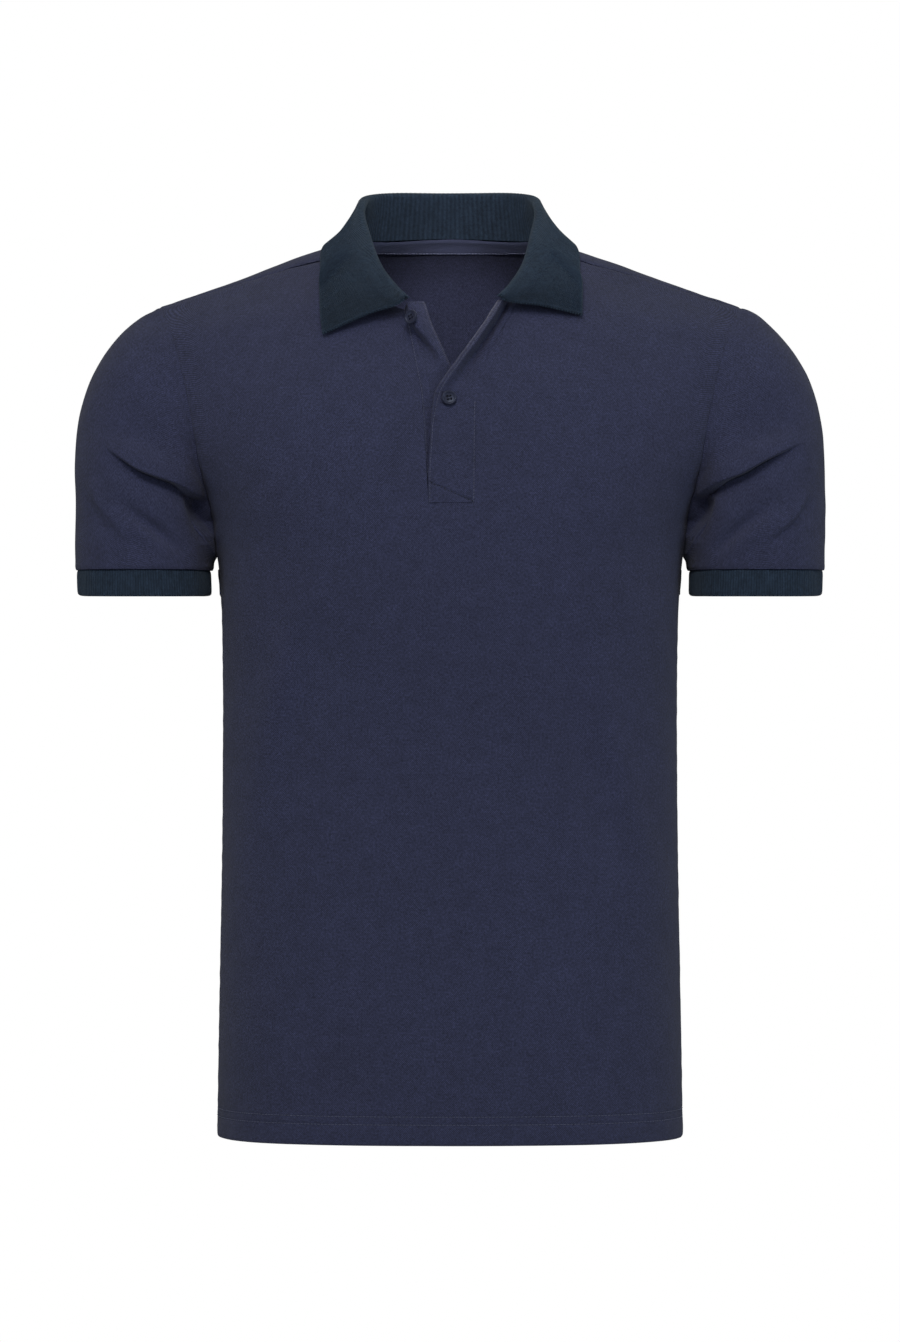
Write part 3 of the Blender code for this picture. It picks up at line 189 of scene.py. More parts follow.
def unit(vectors):
    """The vectors, each made 1 long."""
    return vectors / np.maximum(np.linalg.norm(vectors, axis=-1, keepdims=True), 1e-12)


def normals_of(surface, a, b, step_a, step_b):
    """Unit normals of surface(a, b), from its differences."""
    along_a = surface(a + step_a, b) - surface(a - step_a, b)
    along_b = surface(a, b + step_b) - surface(a, b - step_b)
    return unit(np.cross(along_a, along_b))


def body_normals(u, t):
    """The body's outward normals."""
    u, t = np.asarray(u, float), np.asarray(t, float)
    return normals_of(body, u, t, STEP_ACROSS, STEP_ALONG)


SEARCH_ROUNDS, NUDGE, LEAST_AREA = 14, 1e-5, 1e-3
LARGEST_U_MOVE, LARGEST_T_MOVE = 0.15, 0.02
LARGEST_U, T_MARGIN = 1.1, 0.03
START_U, START_STEPS = 0.3, 60
SHOULDERS_BEFORE_RIDGE, SHOULDERS_PAST_RIDGE = 0.14, 0.12


def find_on_body(first, second, axes, low, high):
    """(u, t) of the body's points whose two coordinates `axes` are `first` and `second`,
    with t between low and high, where the second one grows with t. It starts from a rough guess
    and steps along the surface's slopes."""
    first, second = np.broadcast_arrays(np.asarray(first, float), np.asarray(second, float))
    wanted = np.stack([np.abs(first.ravel()), second.ravel()], axis=1)
    rows = np.linspace(low, high, SAMPLES)
    t = np.interp(wanted[:, 1], body(START_U, rows)[:, axes[1]], rows)
    steps = np.linspace(0, 1, START_STEPS)
    u = np.interp(wanted[:, 0], body(steps, (low + high) / 2)[:, 0], steps)
    for _ in range(SEARCH_ROUNDS):
        here = body(u, t)[:, list(axes)]
        by_u = (body(u + NUDGE, t)[:, list(axes)] - here) / NUDGE
        by_t = (body(u, t + NUDGE)[:, list(axes)] - here) / NUDGE
        miss = wanted - here
        area = by_u[:, 0] * by_t[:, 1] - by_u[:, 1] * by_t[:, 0]
        area = np.where(np.abs(area) < LEAST_AREA, LEAST_AREA * np.sign(area + 1e-12), area)
        move_u = (miss[:, 0] * by_t[:, 1] - miss[:, 1] * by_t[:, 0]) / area
        move_t = (by_u[:, 0] * miss[:, 1] - by_u[:, 1] * miss[:, 0]) / area
        u = np.clip(u + np.clip(move_u, -LARGEST_U_MOVE, LARGEST_U_MOVE), 0.0, LARGEST_U)
        t = t + np.clip(move_t, -LARGEST_T_MOVE, LARGEST_T_MOVE)
        t = np.clip(t, low - T_MARGIN, high + T_MARGIN)
    u = u * np.where(first.ravel() < 0, -1, 1)
    return u.reshape(first.shape), t.reshape(first.shape)


def find_on_front(x, z):
    """(u, t) of the body's points at x and z on the front, above the armpits."""
    return find_on_body(x, z, (0, 2), AT_FRONT_ARMPIT, AT_RIDGE)


def find_on_shoulders(x, y):
    """(u, t) of the body's points at x and y near the shoulders' ridge, seen from above."""
    low, high = AT_RIDGE - SHOULDERS_BEFORE_RIDGE, AT_RIDGE + SHOULDERS_PAST_RIDGE
    return find_on_body(x, y, (0, 1), low, high)


# ---- the sleeves' form -------------------------------------------------
# A ring runs from its inner point, next to the body, over the front and the outer point. Columns:
# name, outer_x, outer_z, inner_x, inner_z, front_y, back_y, squareness
SLEEVE_RINGS = [
    ("cap", 0.2640, -0.0725, 0.1868, -0.2490, -0.0625, 0.0640, 2.15),
    ("crown", 0.2865, -0.1075, 0.1874, -0.2505, -0.0645, 0.0650, 2.25),
    ("upper", 0.2972, -0.1500, 0.1882, -0.2520, -0.0640, 0.0640, 2.40),
    ("lower", 0.2992, -0.2050, 0.1890, -0.2545, -0.0620, 0.0620, 2.60),
    ("hem", 0.2992, -0.2603, 0.1895, -0.2603, -0.0600, 0.0600, 2.80),
]


def ring_points(row, turn):
    """Points of a sleeve ring at the angles `turn`: 0 is the inner point, pi the outer one,
    and the front lies between them."""
    _, outer_x, outer_z, inner_x, inner_z, front_y, back_y, squareness = row
    across, round_ = np.cos(turn), np.sin(turn)
    across = np.sign(across) * np.abs(across) ** (2 / squareness)
    swing = np.abs(round_) ** (2 / squareness)
    return np.stack(
        [
            (inner_x + outer_x) / 2 + across * (inner_x - outer_x) / 2,
            swing * np.where(round_ >= 0, front_y, back_y),
            (inner_z + outer_z) / 2 + across * (inner_z - outer_z) / 2,
        ],
        axis=-1,
    )


# How far down the sleeve, from 0 to 1, the armhole and each ring lie.
RING_AT = [0.0, 0.22, 0.39, 0.57, 0.78, 1.0]
ARMHOLE_FRONT_AT = np.linspace(AT_FRONT_ARMPIT, AT_RIDGE, SAMPLES)
ARMHOLE_BACK_AT = np.linspace(AT_BACK_ARMPIT, AT_RIDGE, SAMPLES)
ARMHOLE_FRONT_Z = body(1.0, ARMHOLE_FRONT_AT)[:, 2]
ARMHOLE_BACK_Z = body(1.0, ARMHOLE_BACK_AT)[:, 2]
ARMPIT_Z, SHOULDER_TIP_Z = ARMHOLE_FRONT_Z[0], ARMHOLE_FRONT_Z[-1]
# Where the body's normal and its direction are read near the armhole, across the body.
BESIDE_ARMHOLE, BEFORE_ARMHOLE = 0.999, 0.97
SMOOTH_JOIN_POWER = 1.5


def armhole_at(turn):
    """The body's t where the sleeve's angle `turn` meets the armhole."""
    z = (ARMPIT_Z + SHOULDER_TIP_Z) / 2 - (SHOULDER_TIP_Z - ARMPIT_Z) / 2 * np.cos(turn)
    front = np.interp(z, ARMHOLE_FRONT_Z, ARMHOLE_FRONT_AT)
    back = np.interp(z, ARMHOLE_BACK_Z, ARMHOLE_BACK_AT)
    return np.where(np.sin(turn) >= 0, front, back)


def sleeve(turn, s):
    """Points on the outer face of the +X sleeve. turn goes round it, s from 0 at the armhole
    to 1 at the hem. It leaves the shoulder smoothly and the armpit at an angle."""
    turn, s = np.broadcast_arrays(np.asarray(turn, float), np.asarray(s, float))
    round_, along = turn.ravel(), s.ravel()
    at = armhole_at(round_)
    top_share = ((1 - np.cos(round_)) / 2) ** SMOOTH_JOIN_POWER
    gap = SEAM_GAP * body_normals(BESIDE_ARMHOLE, at) * (1 - top_share)[:, None]
    start = body(1.0, at) + gap
    rings = np.stack([start] + [ring_points(row, round_) for row in SLEEVE_RINGS], axis=1)
    leave = unit(body(1.0, at) - body(BEFORE_ARMHOLE, at))
    first_gap = (rings[:, 1] - rings[:, 0]) / RING_AT[1]
    reach = np.linalg.norm(first_gap, axis=1, keepdims=True)
    blend = top_share[:, None]
    first = leave * reach * blend + first_gap * (1 - blend)
    points = curve(RING_AT, np.swapaxes(rings, 0, 1), along, first, each=True)
    return points.reshape(turn.shape + (3,))


def sleeve_normals(turn, s):
    """The sleeve's outward normals."""
    return -normals_of(sleeve, turn, s, STEP_ACROSS, STEP_ALONG)


# ---- the neckline ------------------------------------------------------
NECK_HALF_WIDTH = 0.078
NECK_FRONT_DEPTH = 0.079
NECK_BACK_DEPTH = 0.0625
NECK_FRONT_SQUARENESS = 3.0
NECK_BACK_SQUARENESS = 2.0


def neck_plan(turn, grow=0.0):
    """The neckline in plan. turn is 0 at the centre front, pi/2 at +X and pi at the centre back."""
    ahead = np.cos(turn) >= 0
    power = 2 / np.where(ahead, NECK_FRONT_SQUARENESS, NECK_BACK_SQUARENESS)
    depth = np.where(ahead, NECK_FRONT_DEPTH, NECK_BACK_DEPTH) + grow
    x = np.sign(np.sin(turn)) * np.abs(np.sin(turn)) ** power * (NECK_HALF_WIDTH + grow)
    y = -np.sign(np.cos(turn)) * np.abs(np.cos(turn)) ** power * depth
    return x, y


def neck_at(turn, grow=0.0):
    """(u, t) on the body below the neckline's plan, widened by grow."""
    return find_on_shoulders(*neck_plan(np.asarray(turn, float), grow))


# ---- the collar's form -------------------------------------------------
# Stations run along the collar from the wearer's right front end (-X), round the back, to the
# left front end (+X). seam is the neckline's turn in degrees, or None at the ends, where the
# collar stands on the placket's top edge. roll is the fold's top. The leaf's middle and edge lie
# above the body by hover, at x and at a height z (view "front") or a depth y (view "top"). The
# columns: name, at, seam, roll, middle (view, x, z or y, hover), edge (view, x, z or y, hover)
COLLAR_END_SEAMS = {
    "right end": (-0.0352, -0.0865, -0.0484),
    "left end": (0.0395, -0.0875, -0.0468),
}
COLLAR_STATIONS = [
    ("right end", 0.000, None, (-0.0352, -0.0935, -0.0472),
     ("front", -0.0640, -0.0655, 0.010), ("front", -0.0995, -0.0775, 0.004)),
    ("right front", 0.090, -31.5, (-0.0435, -0.0815, -0.0375),
     ("front", -0.0725, -0.0500, 0.012), ("front", -0.1015, -0.0600, 0.004)),
    ("right quarter", 0.180, -45.0, (-0.0550, -0.0650, -0.0210),
     ("front", -0.0800, -0.0320, 0.013), ("front", -0.1025, -0.0410, 0.004)),
    ("right bend", 0.275, -65.0, (-0.0642, -0.0390, 0.0035),
     ("top", -0.0820, -0.0290, 0.011), ("top", -0.1022, -0.0350, 0.003)),
    ("right side", 0.365, -90.0, (-0.0702, -0.0010, 0.0320),
     ("top", -0.0815, 0.0000, 0.0110), ("top", -0.0990, 0.0000, 0.003)),
    ("right nape", 0.440, -130.0, (-0.0585, 0.0350, 0.0430),
     ("top", -0.0685, 0.0410, 0.016), ("top", -0.0800, 0.0480, 0.004)),
    ("back", 0.510, -180.0, (0.0, 0.0605, 0.0455),
     ("top", 0.0, 0.0650, 0.0165), ("top", 0.0, 0.0770, 0.004)),
    ("left nape", 0.580, -230.0, (0.0585, 0.0350, 0.0430),
     ("top", 0.0685, 0.0410, 0.016), ("top", 0.0800, 0.0480, 0.004)),
    ("left side", 0.655, -270.0, (0.0697, -0.0010, 0.0315),
     ("top", 0.0815, 0.0000, 0.0110), ("top", 0.0992, 0.0000, 0.003)),
    ("left bend", 0.740, -295.0, (0.0652, -0.0380, 0.0050),
     ("top", 0.0820, -0.0290, 0.011), ("top", 0.1028, -0.0350, 0.003)),
    ("left quarter", 0.825, -312.0, (0.0585, -0.0630, -0.0195),
     ("front", 0.0820, -0.0290, 0.013), ("front", 0.1038, -0.0360, 0.004)),
    ("left front", 0.905, -321.0, (0.0495, -0.0810, -0.0350),
     ("front", 0.0760, -0.0450, 0.012), ("front", 0.1038, -0.0490, 0.004)),
    ("left end", 1.000, None, (0.0405, -0.0935, -0.0465),
     ("front", 0.0700, -0.0585, 0.010), ("front", 0.1034, -0.0625, 0.004)),
]
COLLAR_LIFT = 0.0020
ROLL_RADIUS, END_ROLL_RADIUS = 0.0030, 0.0016
END_ROLL_POWER = 6
STAND_SHARE, ROLL_SHARE = 0.34, 0.18
LEAF_FALL = 0.7


def above_body(view, x, other, hover):
    """The point at hover above the body, on the front (given x and z) or from above (x and y)."""
    if view == "front":
        u, t = find_on_front([x], [other])
    else:
        u, t = find_on_body([x], [other], (0, 1), FRONT_AT["arm"], BACK_AT["bust"])
    return (body(u, t) + hover * body_normals(u, t))[0]


def collar_guides():
    """The seam, roll, leaf middle and leaf edge points at each station."""
    guides = []
    for name, _, seam, roll, middle, edge in COLLAR_STATIONS:
        if seam is None:
            foot = np.array(COLLAR_END_SEAMS[name])
        else:
            u, t = neck_at([math.radians(seam)])
            foot = (body(u, t) + COLLAR_LIFT * body_normals(u, t))[0]
        guides.append([foot, np.array(roll), above_body(*middle), above_body(*edge)])
    return np.array(guides)


COLLAR_AT = [station[1] for station in COLLAR_STATIONS]
COLLAR_GUIDES = collar_guides()


def square_to(direction, vectors):
    """What is left of the vectors, less their part along the unit direction."""
    return vectors - (vectors * direction).sum(axis=1, keepdims=True) * direction


def collar(a, b):
    """Points halfway through the collar. a runs along it, from the right front end (0) to the left
    one (1). b runs across it, from the seam (0) over the roll to the leaf's edge (1)."""
    a, b = np.broadcast_arrays(np.asarray(a, float), np.asarray(b, float))
    along, across = a.ravel(), b.ravel()
    foot, roll, middle, edge = np.moveaxis(curve(COLLAR_AT, COLLAR_GUIDES, along), 1, 0)
    ahead = curve(COLLAR_AT, COLLAR_GUIDES[:, 1], along + STEP_ACROSS)
    behind = curve(COLLAR_AT, COLLAR_GUIDES[:, 1], along - STEP_ACROSS)
    lengthwise = unit(ahead - behind)
    up = unit(square_to(lengthwise, roll - foot))
    out = unit(square_to(up, square_to(lengthwise, edge - foot)))
    tight = np.abs(2 * along - 1)[:, None] ** END_ROLL_POWER
    radius = ROLL_RADIUS + (END_ROLL_RADIUS - ROLL_RADIUS) * tight
    inner_top = roll - radius * (up + out)
    outer_top = roll - radius * (up - out)
    down = unit(middle - outer_top)
    points = np.empty((len(along), 3))

    stand = across < STAND_SHARE
    share = (across / STAND_SHARE)[:, None]
    points[stand] = curve(
        [0.0, 1.0], np.stack([foot, inner_top]), across / STAND_SHARE, inner_top - foot, each=True
    )[stand]
    points[stand] += (
        (share**2 * (share - 1))
        * (np.linalg.norm(inner_top - foot, axis=1, keepdims=True) * up - (inner_top - foot))
    )[stand]

    over = (across >= STAND_SHARE) & (across <= STAND_SHARE + ROLL_SHARE)
    swing = math.pi * ((across - STAND_SHARE) / ROLL_SHARE)[:, None]
    points[over] = (
        (inner_top + outer_top) / 2
        + radius * (np.sin(swing) * up - np.cos(swing) * out)
    )[over]

    leaf = across > STAND_SHARE + ROLL_SHARE
    rest = (across - STAND_SHARE - ROLL_SHARE) / (1 - STAND_SHARE - ROLL_SHARE)
    reach = 2 * np.linalg.norm(middle - outer_top, axis=1, keepdims=True)
    first = reach * unit(down - LEAF_FALL * up)
    points[leaf] = curve(
        [0.0, 0.5, 1.0], np.stack([outer_top, middle, edge]), rest, first, each=True
    )[leaf]
    return points.reshape(a.shape + (3,))


def collar_normals(a, b):
    """The collar's normals, away from the wearer on its leaf."""
    return normals_of(collar, a, b, STEP_ACROSS, STEP_ACROSS)


# ---- the placket's form ------------------------------------------------
# Each row crosses a placket strip, from its seam over a knee and the ridge to its free edge.
# z is the seam's height, and fall is how far the free edge lies below it. Each out is how far
# that point stands forward of the body. The columns:
# z, fall, seam_x, seam_out, knee_x, knee_out, ridge_x, ridge_out, free_x, free_out
TOP_PLACKET_ROWS = [
    (-0.2096, 0.0, 0.0195, 0.0003, 0.0080, 0.0003, -0.0130, 0.0003, -0.0171, 0.0003),
    (-0.1844, 0.0, 0.0197, 0.0003, 0.0080, 0.0003, -0.0130, 0.0003, -0.0170, 0.0003),
    (-0.1608, 0.0, 0.0199, 0.0003, 0.0080, 0.0003, -0.0118, 0.0004, -0.0156, 0.0003),
    (-0.1333, 0.0, 0.0203, 0.0003, 0.0070, 0.0003, -0.0098, 0.0008, -0.0138, 0.0004),
    (-0.1220, 0.0, 0.0212, 0.0003, 0.0065, 0.0006, -0.0070, 0.0022, -0.0117, 0.0010),
    (-0.1100, 0.0, 0.0237, 0.0003, 0.0120, 0.0014, 0.0015, 0.0052, -0.0045, 0.0032),
    (-0.0970, 0.0, 0.0286, 0.0003, 0.0195, 0.0022, 0.0105, 0.0085, 0.0050, 0.0062),
    (-0.0820, 0.0, 0.0360, 0.0002, 0.0285, 0.0035, 0.0212, 0.0120, 0.0158, 0.0094),
    (-0.0660, 0.0004, 0.0452, 0.0001, 0.0380, 0.0045, 0.0318, 0.0150, 0.0266, 0.0122),
    (-0.0469, 0.0026, 0.0552, 0.0000, 0.0480, 0.0055, 0.0420, 0.0172, 0.0370, 0.0140),
]
UNDER_PLACKET_ROWS = [
    (-0.2094, 0.0, -0.0169, -0.0027, -0.0080, -0.0028, 0.0040, -0.0028, 0.0171, -0.0028),
    (-0.1765, 0.0, -0.0188, -0.0016, -0.0150, -0.0028, 0.0030, -0.0028, 0.0156, -0.0028),
    (-0.1450, 0.0, -0.0209, 0.0000, -0.0165, -0.0024, 0.0000, -0.0028, 0.0117, -0.0028),
    (-0.1220, 0.0, -0.0230, 0.0000, -0.0175, -0.0010, -0.0030, -0.0024, 0.0085, -0.0026),
    (-0.1080, 0.0, -0.0256, 0.0000, -0.0175, 0.0002, -0.0040, -0.0004, 0.0040, -0.0014),
    (-0.0966, 0.0, -0.0278, 0.0000, -0.0180, 0.0008, -0.0064, 0.0032, -0.0016, 0.0018),
    (-0.0820, 0.0, -0.0306, 0.0000, -0.0240, 0.0020, -0.0165, 0.0080, -0.0080, 0.0044),
    (-0.0690, -0.0016, -0.0330, 0.0000, -0.0305, 0.0045, -0.0265, 0.0122, -0.0143, 0.0066),
    (-0.0559, -0.0056, -0.0365, 0.0000, -0.0350, 0.0075, -0.0318, 0.0160, -0.0197, 0.0088),
]
SEAM_X_COLUMN, RIDGE_OUT_COLUMN = 2, 7
KNEE_AT, RIDGE_AT = 0.30, 0.72


def placket(rows, r, s):
    """Points on the outer face of a placket strip. r runs up it and s across it, from the seam
    edge (0) to the free edge (1)."""
    r, s = np.broadcast_arrays(np.asarray(r, float), np.asarray(s, float))
    table = np.array(rows)
    heights = (table[:, 0] - table[0, 0]) / (table[-1, 0] - table[0, 0])
    here = curve(heights, table, r.ravel())
    section = here[:, 2:].reshape(-1, 4, 2).swapaxes(0, 1)
    x, out = curve([0.0, KNEE_AT, RIDGE_AT, 1.0], section, s.ravel(), each=True).T
    z = here[:, 0] - here[:, 1] * np.sin(math.pi / 2 * s.ravel())
    points = body(*find_on_front(x, z))
    points[:, 1] -= out
    return points.reshape(r.shape + (3,))


def placket_normals(rows, r, s):
    """A placket strip's normals, in or out."""
    return normals_of(lambda a, b: placket(rows, a, b), r, s, STEP_ACROSS, STEP_ACROSS)


# ---- folds and small unevenness ----------------------------------------
# Each fold follows a path in the front view, given as (x, z) points. height is along the surface's
# normal: a ridge is over 0, a trough below. left and right are the widths of its two flanks, seen
# along the path. offset moves it to the path's left. It is strongest at the share `peak` of the
# path. A crease is a ridge with a steep flank and a trough beside it. lap moves the ridge to the
# left (or, below 0, to the right) until it hangs over its trough.
CREASE_LEFT = (
    (0.2790, -0.1593), (0.2654, -0.1650), (0.2482, -0.1729), (0.2309, -0.1822), (0.2152, -0.1887),
    (0.2023, -0.1958), (0.1915, -0.2051), (0.1830, -0.2140), (0.1750, -0.2240),
)
CREASE_RIGHT = (
    (-0.2722, -0.1633), (-0.2588, -0.1720), (-0.2446, -0.1806), (-0.2288, -0.1862),
    (-0.2154, -0.1909), (-0.2036, -0.1980), (-0.1917, -0.2051), (-0.1832, -0.2140),
    (-0.1752, -0.2240),
)
BACK_CREASE_LEFT = (
    (0.272, -0.150), (0.252, -0.163), (0.228, -0.178), (0.206, -0.196),
)
BACK_CREASE_RIGHT = (
    (-0.275, -0.155), (-0.254, -0.168), (-0.231, -0.183), (-0.207, -0.198),
)
FOLDS = {  # piece: its rows of height, left, right, offset, peak, lap, path
    "sleeve front left": [
        (0.0034, 0.0016, 0.0150, 0.0, 0.50, 0.0030, CREASE_LEFT),
        (-0.0130, 0.0110, 0.0018, 0.0028, 0.60, 0.0, CREASE_LEFT),
        (-0.0125, 0.0095, 0.0260, 0.0, 0.45, 0.0,
         ((0.1990, -0.2010), (0.1955, -0.2090), (0.1930, -0.2180), (0.1910, -0.2270),
          (0.1895, -0.2390))),
        (-0.0045, 0.0120, 0.0220, 0.0, 0.50, 0.0,
         ((0.2900, -0.1350), (0.2640, -0.1450), (0.2380, -0.1550), (0.2100, -0.1690))),
        (0.0032, 0.0030, 0.0080, 0.0, 0.45, 0.0,
         ((0.2855, -0.1945), (0.2797, -0.2073), (0.2726, -0.2188), (0.2539, -0.2331),
          (0.2420, -0.2420))),
        (-0.0026, 0.0050, 0.0030, 0.0040, 0.45, 0.0,
         ((0.2825, -0.1985), (0.2769, -0.2114), (0.2651, -0.2256), (0.2500, -0.2380))),
        (-0.0042, 0.0055, 0.0055, 0.0, 0.60, 0.0,
         ((0.2560, -0.2020), (0.2481, -0.2130), (0.2309, -0.2260), (0.2138, -0.2418),
          (0.2060, -0.2510))),
        (0.0022, 0.0060, 0.0060, 0.0, 0.55, 0.0,
         ((0.2640, -0.2090), (0.2520, -0.2230), (0.2360, -0.2360), (0.2220, -0.2490))),
        (-0.0018, 0.0060, 0.0060, 0.0, 0.70, 0.0,
         ((0.2010, -0.1500), (0.2005, -0.1680), (0.1985, -0.1860), (0.1945, -0.1960))),
    ],
    "sleeve front right": [
        (0.0034, 0.0150, 0.0016, 0.0, 0.50, -0.0030, CREASE_RIGHT),
        (-0.0134, 0.0018, 0.0110, -0.0028, 0.60, 0.0, CREASE_RIGHT),
        (-0.0125, 0.0260, 0.0095, 0.0, 0.45, 0.0,
         ((-0.1990, -0.2020), (-0.1957, -0.2100), (-0.1932, -0.2190), (-0.1912, -0.2280),
          (-0.1897, -0.2400))),
        (-0.0045, 0.0220, 0.0120, 0.0, 0.50, 0.0,
         ((-0.2890, -0.1370), (-0.2630, -0.1480), (-0.2370, -0.1580), (-0.2100, -0.1700))),
        (0.0032, 0.0080, 0.0030, 0.0, 0.45, 0.0,
         ((-0.2864, -0.1885), (-0.2825, -0.2019), (-0.2730, -0.2177), (-0.2620, -0.2280),
          (-0.2517, -0.2398))),
        (-0.0026, 0.0030, 0.0050, -0.0040, 0.45, 0.0,
         ((-0.2840, -0.1925), (-0.2780, -0.2080), (-0.2680, -0.2200), (-0.2560, -0.2330))),
        (-0.0042, 0.0055, 0.0055, 0.0, 0.60, 0.0,
         ((-0.2620, -0.2010), (-0.2525, -0.2145), (-0.2312, -0.2303), (-0.2083, -0.2500))),
        (0.0022, 0.0060, 0.0060, 0.0, 0.55, 0.0,
         ((-0.2660, -0.2120), (-0.2480, -0.2290), (-0.2330, -0.2410), (-0.2230, -0.2520))),
        (-0.0018, 0.0060, 0.0060, 0.0, 0.70, 0.0,
         ((-0.2035, -0.1500), (-0.2020, -0.1700), (-0.1996, -0.1860), (-0.1949, -0.1970))),
    ],
    "sleeve back left": [
        (0.0026, 0.0018, 0.0140, 0.0, 0.50, 0.0024, BACK_CREASE_LEFT),
        (-0.0078, 0.0085, 0.0020, 0.0028, 0.75, 0.0, BACK_CREASE_LEFT),
        (-0.0016, 0.0070, 0.0060, 0.0, 0.50, 0.0,
         ((0.284, -0.184), (0.266, -0.205), (0.242, -0.226), (0.222, -0.240))),
        (0.0015, 0.0080, 0.0080, 0.0, 0.50, 0.0,
         ((0.276, -0.170), (0.257, -0.190), (0.234, -0.206), (0.214, -0.217))),
    ],
    "sleeve back right": [
        (0.0026, 0.0140, 0.0018, 0.0, 0.50, -0.0024, BACK_CREASE_RIGHT),
        (-0.0076, 0.0020, 0.0085, -0.0028, 0.75, 0.0, BACK_CREASE_RIGHT),
        (-0.0015, 0.0060, 0.0070, 0.0, 0.50, 0.0,
         ((-0.286, -0.189), (-0.262, -0.211), (-0.240, -0.224), (-0.218, -0.243))),
        (0.0015, 0.0080, 0.0080, 0.0, 0.50, 0.0,
         ((-0.279, -0.173), (-0.254, -0.192), (-0.230, -0.209), (-0.211, -0.219))),
    ],
    "front": [
        (0.0036, 0.0180, 0.0150, 0.0, 0.45, 0.0,
         ((-0.112, -0.270), (-0.126, -0.315), (-0.148, -0.430), (-0.164, -0.500))),
        (-0.0034, 0.0160, 0.0180, 0.0, 0.50, 0.0,
         ((-0.094, -0.285), (-0.118, -0.375), (-0.137, -0.440))),
        (0.0036, 0.0150, 0.0180, 0.0, 0.45, 0.0,
         ((0.098, -0.275), (0.117, -0.360), (0.148, -0.475), (0.168, -0.560))),
        (-0.0034, 0.0180, 0.0160, 0.0, 0.50, 0.0,
         ((0.074, -0.275), (0.117, -0.440), (0.140, -0.515))),
        (0.0009, 0.0140, 0.0140, 0.0, 0.50, 0.0,
         ((0.036, -0.412), (0.040, -0.470), (0.044, -0.530))),
    ],
    "back": [
        (0.0024, 0.0200, 0.0160, 0.0, 0.45, 0.0,
         ((-0.120, -0.250), (-0.110, -0.360), (-0.135, -0.500))),
        (-0.0024, 0.0180, 0.0200, 0.0, 0.50, 0.0,
         ((-0.080, -0.300), (-0.070, -0.420), (-0.095, -0.560))),
        (0.0022, 0.0160, 0.0200, 0.0, 0.50, 0.0,
         ((0.125, -0.255), (0.105, -0.380), (0.128, -0.540))),
        (-0.0024, 0.0210, 0.0180, 0.0, 0.50, 0.0,
         ((0.060, -0.330), (0.085, -0.450), (0.080, -0.590))),
        (0.0016, 0.0240, 0.0240, 0.0, 0.50, 0.0,
         ((-0.140, -0.120), (-0.060, -0.145), (0.020, -0.140), (0.110, -0.115))),
    ],
}
PATH_POINTS = 24
LAP_ABOVE, LAP_WIDTH = 0.0016, 0.0034
END_FADE = 0.004


def bump_at(distance, width):
    """1 at a line, falling off smoothly with the distance from it."""
    return np.exp(-((distance / width) ** 2))


def fade_from(distance, reach):
    """1 at an edge, falling off quickly at first and then slowly."""
    return np.exp(-distance / reach)


def smooth_path(path):
    """The path's points, and more between them on a smooth curve."""
    nodes = np.array(path)
    lengths = np.linalg.norm(np.diff(nodes, axis=0), axis=1)
    knots = np.concatenate([[0.0], np.cumsum(lengths)]) / lengths.sum()
    return curve(knots, nodes, np.linspace(0, 1, PATH_POINTS))


def fold_moves(piece, points):
    """How far the piece's folds move the points along the normal, and sideways in x and z."""
    height = np.zeros(points.shape[:-1])
    sideways = np.zeros(points.shape)
    for size, left, right, offset, peak, lap, path in FOLDS[piece]:
        nodes = smooth_path(path)
        best = np.full(height.shape, np.inf)
        share, side = np.zeros(height.shape), np.zeros(height.shape)
        leftward = np.zeros(points.shape)
        for k, (start, end) in enumerate(zip(nodes[:-1], nodes[1:])):
            step = end - start
            away_from = points[..., [0, 2]] - start
            along = np.clip(away_from @ step / (step @ step), 0, 1)
            away = np.linalg.norm(away_from - along[..., None] * step, axis=-1)
            cross = step[0] * away_from[..., 1] - step[1] * away_from[..., 0]
            nearer = away < best
            share = np.where(nearer, (k + along) / (PATH_POINTS - 1), share)
            side = np.where(nearer, np.sign(cross), side)
            left_of_step = unit(np.array([-step[1], 0, step[0]]))
            leftward = np.where(nearer[..., None], left_of_step, leftward)
            best = np.minimum(best, away)
        distance = side * best - offset
        flank = np.where(distance > 0, left, right)
        rise = np.sin(math.pi / 2 * np.clip(share / peak, 0, 1))
        fall = np.cos(math.pi / 2 * np.clip((share - peak) / (1 - peak), 0, 1))
        past_end = np.clip(best - np.abs(distance), 0, None)
        reach = rise * fall * bump_at(past_end, END_FADE)
        height += size * reach * bump_at(distance, flank)
        if lap:
            above = bump_at(distance * np.sign(lap) + LAP_ABOVE, LAP_WIDTH)
            sideways += lap * (reach * above)[..., None] * leftward
    return height, sideways


RIPPLE_WAVES, RIPPLE_SPREAD, RIPPLE_PEAK = 14, (0.7, 1.5), 1.6


def ripple(points, length, seed):
    """Smooth random heights from about -1 to 1, with waves about `length` long."""
    dice = np.random.default_rng(seed)
    total = np.zeros(points.shape[:-1])
    for _ in range(RIPPLE_WAVES):
        way = unit(dice.normal(size=3)) * 2 * math.pi / (length * dice.uniform(*RIPPLE_SPREAD))
        total += np.sin(points @ way + dice.uniform(0, 2 * math.pi))
    return total / math.sqrt(RIPPLE_WAVES / 2) / RIPPLE_PEAK


def ripples(points, heights_and_lengths, seed):
    """The sum of several ripples, each with the next seed."""
    return sum(
        height * ripple(points, length, seed + k)
        for k, (height, length) in enumerate(heights_and_lengths)
    )


# Seams: the cloth dips into the seam, and puckers beside it.
SEAM_DIP, SEAM_DIP_WIDTH = 0.0006, 0.0013
